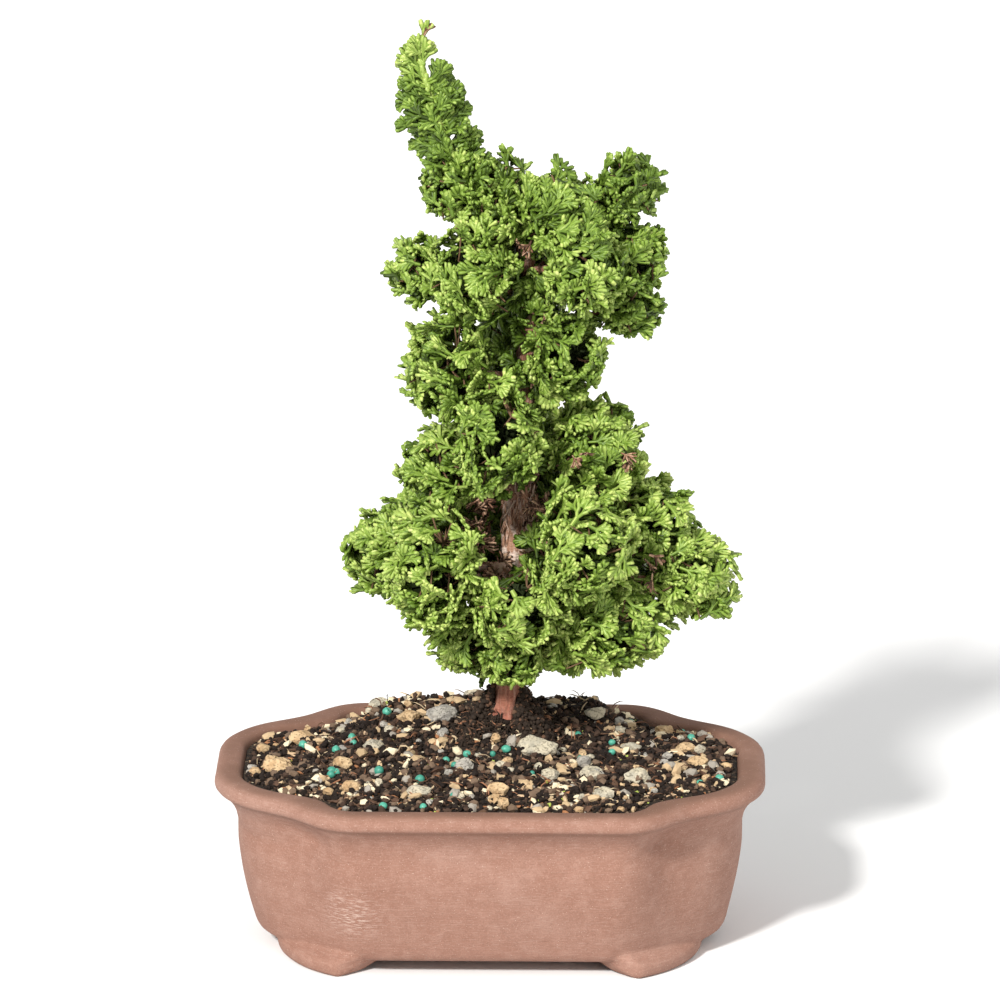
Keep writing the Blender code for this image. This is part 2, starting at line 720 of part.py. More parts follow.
def build_spray(points):
    """A toothed blade: its flat outline drawn up to the ridge point."""
    bm = bmesh.new()
    outline = [bm.verts.new(point) for point in points[:-1]]
    ridge = bm.verts.new(points[-1])
    bm.faces.new(reversed(outline))
    for first, second in zip(outline, outline[1:] + outline[:1]):
        bm.faces.new((first, second, ridge))
    return object_from("spray", bm)


def settle_centre(space, limbs):
    """The core's centre: the middle of the mass, moved off any limb that passes through it."""
    centre = space.middle.copy()
    for _ in range(30):
        for limb in limbs:
            short = SETTLE - limb.clearance(centre)
            if short > 0:
                centre += limb.away_from(centre) * short
    return centre


def build_mass(space, limbs, bough, trunk, leaf, index):
    """One mass of foliage: stem, core and sprays, joined into one closed solid."""
    rng = random.Random(SEED * 1000 + index)
    centre = settle_centre(space, limbs)
    core = build_core(space, centre, limbs, rng)
    core.data.materials.append(leaf)
    if bough:
        heading = bough.points[-1] - bough.points[-2]
        heading /= np.linalg.norm(heading)
        start, thick = bough.points[-1] + heading * GAP, bough.radii[-1] * 0.9
    else:
        start, thick = stem_start(space, centre, trunk, limbs)
    pieces = [object_from("stem", lofted(tube(start, centre, thick, TWIG_RADIUS, 5)))]
    pieces += [build_spray(points) for points in grow_sprays(space, centre, limbs, rng)]
    combine(core, pieces)
    keep_largest_body(core)
    core.data.name = space.mass.name


def stem_start(space, centre, trunk, limbs):
    """Where a mass's own stem begins, just off the trunk, at the clear height nearest the one asked for."""
    for step in range(80):
        for sign in (1, -1):
            axis, radius = trunk.at_height(space.mass.leaves_trunk + sign * step)
            heading = centre - axis
            heading /= np.linalg.norm(heading)
            start = axis + heading * (radius + GAP)
            while min(trunk.clearance(point) for point in ring_round(start, heading, STEM, 5)) < GAP:
                start = start + heading * STEP_OUT
            way = [start + (centre - start) * share for share in (0.15, 0.3, 0.5, 0.7, 0.9)]
            if space.inside_planes(start, STEM) and clear_of(limbs, way, STEM + 0.2):
                return start, STEM
    raise ValueError("no clear way from the trunk to " + space.mass.name)


def main():
    """Builds the pot, the soil, the limbs and every mass of foliage."""
    clear_scene()
    clay = finish("clay", (0.42, 0.23, 0.17), 0.8)
    earth = finish("soil", (0.08, 0.055, 0.04), 0.95)
    bark = finish("bark", (0.30, 0.17, 0.11), 0.85)
    leaf = finish("foliage", (0.16, 0.28, 0.05), 0.6)
    build_pot(clay)
    build_soil(earth)
    trunk = build_trunk(bark)
    spaces = [Space(mass) for mass in MASSES]
    for space in spaces:
        for other in spaces:
            if other is not space:
                space.part_from(other, trunk)
        space.add_plane(np.array([0.0, 0.0, -1.0]), -LOWEST_LEAF)
    boughs = [build_bough(space, trunk, bark) if space.mass.bough else None for space in spaces]
    limbs = [trunk] + [bough for bough in boughs if bough]
    for index, (space, bough) in enumerate(zip(spaces, boughs)):
        build_mass(space, limbs, bough, trunk, leaf, index)


main()
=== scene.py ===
"""Looks of a small arborvitae grown as a bonsai in a lipped clay pot.

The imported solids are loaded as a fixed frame, and each is then replaced by a finer piece in its place: the
pot and the soil by meshes of the same outlines, the trunk and boughs by barked limbs, and each mass of
foliage by twigs and sprays that grow by the source's rule. Sizes are in millimetres until a mesh is made.
"""

import logging
import math
from dataclasses import astuple, dataclass, field
from enum import Enum, IntEnum
from typing import Iterator, Sequence

import bmesh
import bpy
import numpy as np
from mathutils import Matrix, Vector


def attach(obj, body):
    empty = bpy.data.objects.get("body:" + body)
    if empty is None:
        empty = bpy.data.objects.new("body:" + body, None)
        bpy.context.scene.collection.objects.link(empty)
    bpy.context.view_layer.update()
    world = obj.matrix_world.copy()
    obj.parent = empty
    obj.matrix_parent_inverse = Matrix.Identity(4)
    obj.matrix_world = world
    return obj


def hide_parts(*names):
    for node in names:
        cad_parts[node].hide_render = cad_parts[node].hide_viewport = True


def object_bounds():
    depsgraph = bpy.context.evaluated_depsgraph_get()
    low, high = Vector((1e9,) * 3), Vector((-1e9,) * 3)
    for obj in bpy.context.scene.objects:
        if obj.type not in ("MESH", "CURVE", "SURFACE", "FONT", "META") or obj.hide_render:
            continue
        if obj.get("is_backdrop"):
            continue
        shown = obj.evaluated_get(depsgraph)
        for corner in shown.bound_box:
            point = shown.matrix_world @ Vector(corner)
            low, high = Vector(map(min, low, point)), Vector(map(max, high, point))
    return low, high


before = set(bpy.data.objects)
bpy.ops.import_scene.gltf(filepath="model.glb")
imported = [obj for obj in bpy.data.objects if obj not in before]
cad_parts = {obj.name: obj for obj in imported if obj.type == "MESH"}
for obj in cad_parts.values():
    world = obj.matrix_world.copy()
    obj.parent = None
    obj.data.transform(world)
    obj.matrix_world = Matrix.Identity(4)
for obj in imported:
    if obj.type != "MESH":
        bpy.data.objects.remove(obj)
CAD_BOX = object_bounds()

Array = np.ndarray
Colour = tuple[float, float, float]
Place = tuple[float, float, float]

MM = 0.001
BODY = "root"
FULL_PIECE = 105_000
GOLDEN_TURN = math.pi * (3 - math.sqrt(5))
HASH_FACTORS = np.array([73856093, 19349663, 83492791])
UP = np.array([0.0, 0.0, 1.0])
log = logging.getLogger("arborvitae")


def unit(lines: Array) -> Array:
    """Scales each line to length one."""
    return lines / np.maximum(np.linalg.norm(lines, axis=-1, keepdims=True), 1e-9)


def square_to(axes: Array, lines: Array) -> Array:
    """The part of each line that is square to its axis, scaled to length one."""
    return unit(lines - axes * (lines * axes).sum(axis=-1, keepdims=True))


def around(turn: Array) -> Array:
    """Level unit vectors at these angles, with two numbers to a row."""
    return np.column_stack([np.cos(turn), np.sin(turn)])


def smooth(value: Array | float, low: float, high: float) -> Array:
    """Rises smoothly from 0 at low to 1 at high."""
    share = np.clip((value - low) / (high - low), 0, 1)
    return share * share * (3 - 2 * share)


def lattice(cells: Array, seed: int) -> Array:
    """Gives each whole cell, three numbers to a row, its own fixed number from 0 to 1."""
    mixed = np.bitwise_xor.reduce(cells * HASH_FACTORS, axis=-1) ^ (seed * 9781)
    mixed = ((mixed ^ (mixed >> 13)) * 1274126177) & 0xFFFFFFFF
    return ((mixed ^ (mixed >> 16)) & 0xFFFF) / 65535.0


def value_noise(points: Array, seed: int) -> Array:
    """Smooth noise that changes over about one unit.

    Args:
        points: Where it is read.
        seed: Chooses one of many such fields.

    Returns:
        A number from -1 to 1 for each row.
    """
    floor = np.floor(points).astype(np.int64)
    share = points - floor
    share = share * share * (3 - 2 * share)
    total = np.zeros(points.shape[:-1])
    for corner in np.ndindex(2, 2, 2):
        offset = np.array(corner)
        weight = np.prod(np.where(offset == 1, share, 1 - share), axis=-1)
        total += weight * lattice(floor + offset, seed)
    return total * 2 - 1


def layered_noise(points: Array, seed: int, layers: int = 3) -> Array:
    """Adds finer and weaker layers of noise to a coarse one.

    Args:
        points: Where it is read.
        seed: Chooses one of many such fields.
        layers: How many layers there are, each half as coarse and as strong as the last.

    Returns:
        A number about from -1 to 1 for each row.
    """
    total = np.zeros(points.shape[:-1])
    for layer in range(layers):
        total += value_noise(points * 2.0**layer, seed + layer) / 2.0**layer
    return total / 1.6


def flat_noise(spots: Array, size: float, seed: int, layers: int) -> Array:
    """Layered noise over level places, with its coarsest lumps about this size."""
    return layered_noise(np.column_stack([spots / size, np.zeros(len(spots))]), seed, layers)


def even_headings(count: int) -> Array:
    """Spreads this many unit vectors evenly over a ball, one to a row."""
    index = np.arange(count)
    height = 1 - 2 * (index + 0.5) / count
    ring = np.sqrt(1 - height * height)
    return np.column_stack([around(GOLDEN_TURN * index) * ring[:, None], height])


class Signal:
    """A shader socket that adds Math nodes when it stands in an expression."""

    def __init__(self, graph: "Graph", socket: bpy.types.NodeSocket) -> None:
        """Wraps one output socket of the graph."""
        self.graph = graph
        self.socket = socket

    def __add__(self, other: "Signal | float") -> "Signal":
        """Adds a signal or a number."""
        return self.graph.math("ADD", self, other)

    __radd__ = __add__

    def __sub__(self, other: "Signal | float") -> "Signal":
        """Takes away a signal or a number."""
        return self.graph.math("SUBTRACT", self, other)

    def __rsub__(self, other: float) -> "Signal":
        """Takes this signal from a number."""
        return self.graph.math("SUBTRACT", other, self)

    def __mul__(self, other: "Signal | float") -> "Signal":
        """Multiplies by a signal or a number."""
        return self.graph.math("MULTIPLY", self, other)

    __rmul__ = __mul__

    def rise(self, low: float, high: float) -> "Signal":
        """Goes smoothly from 0 to 1 as this signal goes from low to high."""
        values = {"Value": self, "From Min": low, "From Max": high}
        return self.graph.node("ShaderNodeMapRange", {"interpolation_type": "SMOOTHSTEP"}, values, "Result")


class Graph:
    """A material's node tree, built from Python expressions, with the colours painted so far."""

    def __init__(self, name: str, colour: Colour) -> None:
        """Makes a material with one Principled BSDF, to be painted on this colour."""
        self.material = bpy.data.materials.new(name)
        self.material.use_nodes = True
        self.tree = self.material.node_tree
        self.shader = self.tree.nodes["Principled BSDF"]
        self.colour: Signal | Colour = colour

    def node(self, kind: str, settings: dict, inputs: dict, output: str | int = 0) -> Signal:
        """Adds one node.

        Args:
            kind: The node's type.
            settings: Attributes, which are set first.
            inputs: Socket values or signals, by socket name or number.
            output: The output that is wanted, by name or number.

        Returns:
            That output.
        """
        made = self.tree.nodes.new(kind)
        for name, value in settings.items():
            setattr(made, name, value)
        for name, value in inputs.items():
            self.feed(made.inputs[name], value)
        return Signal(self, made.outputs[output])

    def feed(self, socket: bpy.types.NodeSocket, value: "Signal | Colour | float") -> None:
        """Links a signal to a socket, or sets the socket's own number, vector or colour."""
        if isinstance(value, Signal):
            self.tree.links.new(value.socket, socket)
        elif socket.type == "RGBA":
            socket.default_value = (*value, 1.0)
        else:
            socket.default_value = value

    def math(self, operation: str, first: Signal | float, second: Signal | float) -> Signal:
        """Adds one Math node."""
        return self.node("ShaderNodeMath", {"operation": operation}, {0: first, 1: second})

    def measure(self, operation: str, other: Place, output: str) -> Signal:
        """Adds one Vector Math node on the point of the object, which is in metres."""
        point = self.node("ShaderNodeTexCoord", {}, {}, "Object")
        return self.node("ShaderNodeVectorMath", {"operation": operation}, {0: point, 1: other}, output)

    def texture(self, kind: str, cells: float | Place, output: str | int, **inputs: float) -> Signal:
        """Adds a texture with this many cells to a metre, for all axes or for each."""
        stretch = cells if isinstance(cells, tuple) else (cells, cells, cells)
        point = self.measure("MULTIPLY", stretch, "Vector")
        return self.node(kind, {}, {"Vector": point, "Scale": 1.0, **inputs}, output)

    def noise(self, cells: float | Place, detail: float) -> Signal:
        """Noise from 0 to 1."""
        return self.texture("ShaderNodeTexNoise", cells, 0, Detail=detail)

    def specks(self, cells: float) -> Signal:
        """Distance to the nearest of many scattered points, in cells."""
        return self.texture("ShaderNodeTexVoronoi", cells, "Distance")

    def part_of(self, name: str) -> Signal:
        """A number that the mesh holds at each of its points."""
        settings = {"attribute_type": "GEOMETRY", "attribute_name": name}
        return self.node("ShaderNodeAttribute", settings, {}, "Fac")

    def near(self, middle: Place, reach: float) -> Signal:
        """Is 1 at a point of the object and falls to 0 at this distance from it."""
        return 1.0 - self.measure("DISTANCE", middle, "Value").rise(0.0, reach)

    def paint(self, colour: Colour, factor: Signal) -> None:
        """Lays a colour over what is painted so far, as strongly as the factor says."""
        inputs = {0: factor, 6: self.colour, 7: colour}
        self.colour = self.node("ShaderNodeMix", {"data_type": "RGBA"}, inputs, 2)

    def relief(self, height: Signal, depth: float, strength: float) -> None:
        """Feeds a bump of this depth in metres to the shader's normal."""
        inputs = {"Height": height, "Distance": depth, "Strength": strength}
        self.feed(self.shader.inputs["Normal"], self.node("ShaderNodeBump", {}, inputs, "Normal"))

    def finish(self, roughness: Signal | float, shine: float) -> bpy.types.Material:
        """Feeds the shader what is painted, with this roughness and specular level."""
        sockets = {"Base Color": self.colour, "Roughness": roughness, "Specular IOR Level": shine}
        for name, value in sockets.items():
            self.feed(self.shader.inputs[name], value)
        return self.material


@dataclass(frozen=True)
class PlainFinish:
    """One even colour, for small pieces that are coloured one by one."""

    name: str
    colour: Colour
    roughness: float
    shine: float

    def make(self) -> bpy.types.Material:
        """Builds the material."""
        return Graph(self.name, self.colour).finish(self.roughness, self.shine)


@dataclass(frozen=True)
class ClayFinish:
    """Unglazed clay: wiped streaks, pale scuffs, a rim darkened by painted shade and stains, a painted shade
    line in the crease under the lip, and mica grains painted bright as painted glints.
    """

    body: Colour = (0.26, 0.134, 0.096)
    pale: Colour = (0.375, 0.222, 0.172)
    ruddy: Colour = (0.232, 0.112, 0.077)
    dark: Colour = (0.184, 0.095, 0.065)
    bloom: Colour = (0.56, 0.42, 0.36)
    mica_and_painted_glint: Colour = (0.8, 0.62, 0.52)
    scuff: Place = (-0.05, -0.06, 0.025)
    scuff_reach: float = 0.016

    def make(self) -> bpy.types.Material:
        """Builds the material.

        Returns:
            The clay, whose mesh holds at each point how much of the rim's painted shade and stains and of the
            painted shade in the crease there is.
        """
        graph = Graph("clay", self.body)
        graph.paint(self.ruddy, graph.noise(26.0, 3.0).rise(0.36, 0.68) * 0.5)
        mottle = graph.noise(210.0, 4.0)
        graph.paint(self.pale, mottle.rise(0.4, 0.72) * 0.3)
        wiped = graph.noise((70.0, 70.0, 1900.0), 3.0)
        graph.paint(self.pale, wiped.rise(0.5, 0.7) * 0.2)
        graph.paint(self.bloom, graph.noise((22.0, 22.0, 40.0), 2.0).rise(0.5, 0.76) * 0.1)
        scratches = graph.noise((330.0, 330.0, 2600.0), 4.0)
        scuffed = graph.near(self.scuff, self.scuff_reach) * scratches.rise(0.5, 0.6)
        graph.paint(self.bloom, scuffed * 0.6 + scratches.rise(0.56, 0.66) * 0.12)
        grain = graph.noise(1700.0, 2.0)
        graph.paint(self.pale, grain.rise(0.54, 0.7) * 0.45)
        graph.paint(self.dark, (1.0 - grain.rise(0.3, 0.44)) * 0.4)
        stains = graph.noise(60.0, 3.0).rise(0.3, 0.6)
        # Painted shade with stains: the rim's top and the inside of the pot take the dark colour, broken by
        # the stain noise.
        graph.paint(self.dark, graph.part_of("rim") * (0.55 + 0.45 * stains))
        # Painted shade: a dark line in the crease under the lip.
        graph.paint(self.dark, graph.part_of("crease") * 0.45)
        # Bright specks: mica grains painted pale, which stand partly for painted glints; they are also less
        # rough.
        mica_and_painted_glints = 1.0 - graph.specks(820.0).rise(0.05, 0.11)
        graph.paint(self.mica_and_painted_glint, mica_and_painted_glints * 0.65)
        graph.relief(grain * 0.5 + mottle * 0.6 + wiped * 0.25, 0.0005, 0.8)
        return graph.finish(0.8 - scuffed * 0.2 - mica_and_painted_glints * 0.3, 0.35)


@dataclass(frozen=True)
class PeatFinish:
    """The dark bed of peat and grit under the loose pieces."""

    dark: Colour = (0.012, 0.009, 0.007)
    brown: Colour = (0.06, 0.036, 0.022)
    grit: Colour = (0.28, 0.21, 0.13)

    def make(self) -> bpy.types.Material:
        """Builds the material.

        Returns:
            The peat.
        """
        graph = Graph("peat", self.dark)
        crumbs = graph.noise(620.0, 4.0)
        graph.paint(self.brown, crumbs.rise(0.42, 0.68))
        grains = 1.0 - graph.specks(480.0).rise(0.14, 0.22)
        graph.paint(self.grit, grains * 0.7)
        graph.relief(crumbs + grains * 0.3, 0.0012, 1.0)
        return graph.finish(0.92, 0.3)


@dataclass(frozen=True)
class StoneFinish:
    """Pitted stone in two tones."""

    name: str
    body: Colour
    vein: Colour
    pit: Colour

    def make(self) -> bpy.types.Material:
        """Builds the material.

        Returns:
            The stone.
        """
        graph = Graph(self.name, self.body)
        cloud = graph.noise(260.0, 4.0)
        graph.paint(self.vein, cloud.rise(0.4, 0.66))
        pits = 1.0 - graph.noise(1300.0, 3.0).rise(0.33, 0.45)
        graph.paint(self.pit, pits * 0.6)
        graph.relief(cloud - pits * 0.5, 0.0006, 0.9)
        return graph.finish(0.85, 0.3)


@dataclass(frozen=True)
class BarkFinish:
    """Fibrous bark that peels in strips, with warm, bared wood in the gap of the crown, partly real peeling
    and partly painted light where the trunk shows lit, darker bark elsewhere standing for the shade inside
    the crown, and a damp, ruddy foot.
    """

    body: Colour = (0.3, 0.138, 0.084)
    pale: Colour = (0.8, 0.64, 0.54)
    groove: Colour = (0.07, 0.034, 0.022)
    warm: Colour = (0.47, 0.26, 0.165)
    damp: Colour = (0.33, 0.105, 0.07)
    bare_and_lit: Place = (0.008, 0.001, 0.15)
    bare_and_lit_reach: float = 0.034
    foot: Place = (0.006, 0.000, 0.08)
    foot_reach: float = 0.026

    def make(self) -> bpy.types.Material:
        """Builds the material.

        Returns:
            The bark.
        """
        graph = Graph("bark", self.body)
        strips = graph.noise((900.0, 900.0, 70.0), 4.0)
        graph.paint(self.pale, strips.rise(0.46, 0.66) * 0.35)
        graph.paint(self.groove, 1.0 - strips.rise(0.3, 0.44))
        # Warm, pale peeled bark only where the trunk shows in the crown's gap: partly real peeling, partly
        # painted light; elsewhere the darker body stands for painted shade inside the crown.
        bare_and_lit = graph.near(self.bare_and_lit, self.bare_and_lit_reach)
        graph.paint(self.warm, bare_and_lit * 0.7)
        peeled = graph.noise((260.0, 260.0, 150.0), 4.0).rise(0.44, 0.56)
        graph.paint(self.pale, peeled * bare_and_lit)
        foot = graph.near(self.foot, self.foot_reach)
        graph.paint(self.damp, foot * 0.75)
        mottled = graph.noise((330.0, 330.0, 210.0), 3.0).rise(0.42, 0.58)
        graph.paint(self.groove, foot * mottled * 0.55)
        wrinkles = graph.noise((420.0, 420.0, 1500.0), 3.0)
        graph.paint(self.body, (1.0 - wrinkles.rise(0.34, 0.46)) * 0.5)
        graph.relief(strips + wrinkles * 0.5, 0.001, 0.9)
        return graph.finish(0.82, 0.3)


class Leaf(IntEnum):
    """Tones of the leaves, lit and shaded copies of one green, from painted shade for the inside of the crown
    to its palest tips, which are partly painted light, then the dead ones.
    """

    SHADE = 0
    DEEP = 1
    DARK = 2
    MIDDLE = 3
    FRESH = 4
    BRIGHT = 5
    TIP = 6
    PALE = 7
    DEAD = 8
    RUSTY = 9
    STRAW = 10


LEAF_LOOKS = {
    Leaf.SHADE: ((0.016, 0.024, 0.005), 0.75, 0.2),
    Leaf.DEEP: ((0.034, 0.058, 0.006), 0.5, 0.3),
    Leaf.DARK: ((0.066, 0.114, 0.01), 0.46, 0.3),
    Leaf.MIDDLE: ((0.112, 0.184, 0.024), 0.44, 0.3),
    Leaf.FRESH: ((0.184, 0.28, 0.04), 0.44, 0.3),
    Leaf.BRIGHT: ((0.29, 0.392, 0.082), 0.42, 0.35),
    Leaf.TIP: ((0.43, 0.52, 0.135), 0.42, 0.35),
    Leaf.PALE: ((0.51, 0.58, 0.19), 0.42, 0.35),
    Leaf.DEAD: ((0.08, 0.04, 0.024), 0.8, 0.3),
    Leaf.RUSTY: ((0.23, 0.115, 0.07), 0.8, 0.3),
    Leaf.STRAW: ((0.4, 0.25, 0.16), 0.8, 0.3),
}


class Batch:
    """Gathers the faces of many small shapes and makes one mesh of them."""

    def __init__(self) -> None:
        """Starts empty."""
        self.points: list[Array] = []
        self.corners: list[Array] = []
        self.sides: list[Array] = []
        self.slots: list[Array] = []
        self.used = 0
        self.triangles = 0

    def add(self, points: Array, *groups: tuple[Array, Array | int]) -> None:
        """Adds copies of one shape.

        Args:
            points: Points of each copy, as copies x points x 3, or points x 3 for one.
            groups: Pairs of faces, which index one copy's points, and of their material slots: one slot for
                all, one for each copy in a column, or one for each copy's each face.
        """
        copies = points if points.ndim == 3 else points[None]
        count, each = copies.shape[:2]
        for faces, slots in groups:
            shift = self.used + np.arange(count)[:, None, None] * each
            self.corners.append((faces[None] + shift).reshape(-1))
            self.sides.append(np.full(count * len(faces), faces.shape[1]))
            self.slots.append(np.broadcast_to(slots, (count, len(faces))).reshape(-1))
            self.triangles += count * len(faces) * (faces.shape[1] - 2)
        self.points.append(copies.reshape(-1, 3))
        self.used += count * each

    def build(
        self, name: str, materials: Sequence[bpy.types.Material], soft: bool = True
    ) -> bpy.types.Object:
        """Makes the mesh object, in metres, and reports it.

        Args:
            name: The object's name.
            materials: One material for each slot.
            soft: Whether the faces are shaded smooth.

        Returns:
            The object, linked to the scene.
        """
        points = np.concatenate(self.points).astype(np.float32) * MM
        corners, sides, slots = (
            np.concatenate(values).astype(np.int32) for values in (self.corners, self.sides, self.slots)
        )
        mesh = bpy.data.meshes.new(name)
        mesh.vertices.add(len(points))
        mesh.vertices.foreach_set("co", points.reshape(-1))
        mesh.loops.add(len(corners))
        mesh.loops.foreach_set("vertex_index", corners)
        mesh.polygons.add(len(sides))
        starts = np.concatenate([[0], np.cumsum(sides)[:-1]]).astype(np.int32)
        mesh.polygons.foreach_set("loop_start", starts)
        for material in materials:
            mesh.materials.append(material)
        mesh.polygons.foreach_set("material_index", slots)
        mesh.polygons.foreach_set("use_smooth", np.full(len(sides), soft))
        mesh.update(calc_edges=True)
        made = bpy.data.objects.new(name, mesh)
        bpy.context.scene.collection.objects.link(made)
        log.info("%s: %d triangles", name, self.triangles)
        return made


def give(piece: bpy.types.Object, nodes: Sequence[str] = ()) -> None:
    """Makes a piece part of the object.

    Args:
        piece: What rides on the one body.
        nodes: The nodes that it stands for.
    """
    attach(piece, BODY)
    if nodes:
        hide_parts(*nodes)


def grid_faces(rows: int, columns: int) -> Array:
    """Quads between rings of points, four indices to a row."""
    low, column = np.arange(rows - 1)[:, None] * columns, np.arange(columns)[None]
    high, after = low + columns, (column + 1) % columns
    return np.stack([low + column, low + after, high + after, high + column], axis=-1).reshape(-1, 4)


def fan_faces(ring_start: int, columns: int, tip: int) -> Array:
    """Triangles from a ring of points to one point."""
    column = np.arange(columns)
    after = (column + 1) % columns
    return np.column_stack([ring_start + column, ring_start + after, np.full(columns, tip)])


@dataclass(frozen=True)
class SpikeForm:
    """A tapering shape with a few sides, along a line: a leafy finger, a twig or a fibre."""

    sides: int
    stations: tuple[tuple[float, float], ...]
    flatness: float

    def faces(self) -> tuple[Array, Array]:
        """Quads between the rings, and triangles to the tip."""
        rows = len(self.stations)
        last = (rows - 1) * self.sides
        return grid_faces(rows, self.sides), fan_faces(last, self.sides, rows * self.sides)

    def points(self, bases: Array, tips: Array, normals: Array, widths: Array, bends: Array) -> Array:
        """Points of each copy.

        Args:
            bases: Where each begins.
            tips: Where each ends.
            normals: The way each flat side faces.
            widths: Half width of each at its widest.
            bends: How far the middle of each is pushed along its normal.

        Returns:
            Points as copies x points x 3.
        """
        along = tips - bases
        side = unit(np.cross(normals, along))
        over = unit(np.cross(along, side))
        turn = 2 * math.pi * (np.arange(self.sides) / self.sides + 0.25)
        rings = []
        for share, wide in self.stations:
            centre = bases + along * share + over * (bends * 4 * share * (1 - share))[:, None]
            across = side[:, None] * np.cos(turn)[None, :, None] * wide
            above = over[:, None] * np.sin(turn)[None, :, None] * wide * self.flatness
            rings.append(centre[:, None] + (across + above) * widths[:, None, None])
        rings.append(tips[:, None])
        return np.concatenate(rings, axis=1)

    def lay(self, batch: Batch, points: Array, slots: Array | int, tip_slots: Array | int | None) -> None:
        """Adds copies with these slots for their walls and tips, left open where tips have None."""
        walls, tips = self.faces()
        closed = [] if tip_slots is None else [(tips, tip_slots)]
        batch.add(points, (walls, slots), *closed)


FINGER = SpikeForm(3, ((-0.05, 0.9), (0.55, 1.15), (0.92, 0.9)), 0.66)
JOINT = SpikeForm(3, ((0.0, 0.98), (1.0, 1.15)), 0.7)
TWIG = SpikeForm(3, ((0.0, 1.0), (0.5, 0.85), (0.97, 0.7)), 1.0)
FIBRE = SpikeForm(3, ((0.0, 1.0), (0.35, 0.9), (0.7, 0.8)), 1.0)


@dataclass(frozen=True)
class Plan:
    """The pot's outline at one height: a long box with round lobes, blended with a deeper middle panel."""

    half_length: float
    lobe_depth: float
    lobe_radius: float
    panel_width: float
    half_depth: float
    panel_radius: float
    blend: float

    def towards(self, other: "Plan", share: float) -> "Plan":
        """Returns the plan that lies this share of the way to the other."""
        return Plan(*(mine + (its - mine) * share for mine, its in zip(astuple(self), astuple(other))))

    def distance(self, x: Array, y: Array) -> Array:
        """How far places lie from the outline, negative inside."""
        lobes = self.rounded_box(x, y, self.half_length, self.lobe_depth, self.lobe_radius)
        panel = self.rounded_box(x, y, self.panel_width, self.half_depth, self.panel_radius)
        near = np.maximum(self.blend - np.abs(lobes - panel), 0) / self.blend
        return np.minimum(lobes, panel) - near * near * self.blend / 4

    @staticmethod
    def rounded_box(x: Array, y: Array, half_x: float, half_y: float, radius: float) -> Array:
        """Distance of places from a rectangle with round corners, by its half sizes, negative inside."""
        across, along = np.abs(x) - half_x + radius, np.abs(y) - half_y + radius
        outside = np.hypot(np.maximum(across, 0), np.maximum(along, 0))
        return outside + np.minimum(np.maximum(across, along), 0) - radius

    def points(self, angles: Array, inset: float) -> Array:
        """Finds the outline by halving.

        Args:
            angles: Polar angles of the points.
            inset: How far the outline is drawn in.

        Returns:
            Two numbers to a row.
        """
        low, high = np.zeros_like(angles), np.full_like(angles, 2 * self.half_length)
        for _ in range(30):
            middle = (low + high) / 2
            outside = self.distance(middle * np.cos(angles), middle * np.sin(angles)) + inset > 0
            high = np.where(outside, middle, high)
            low = np.where(outside, low, middle)
        return around(angles) * high[:, None]


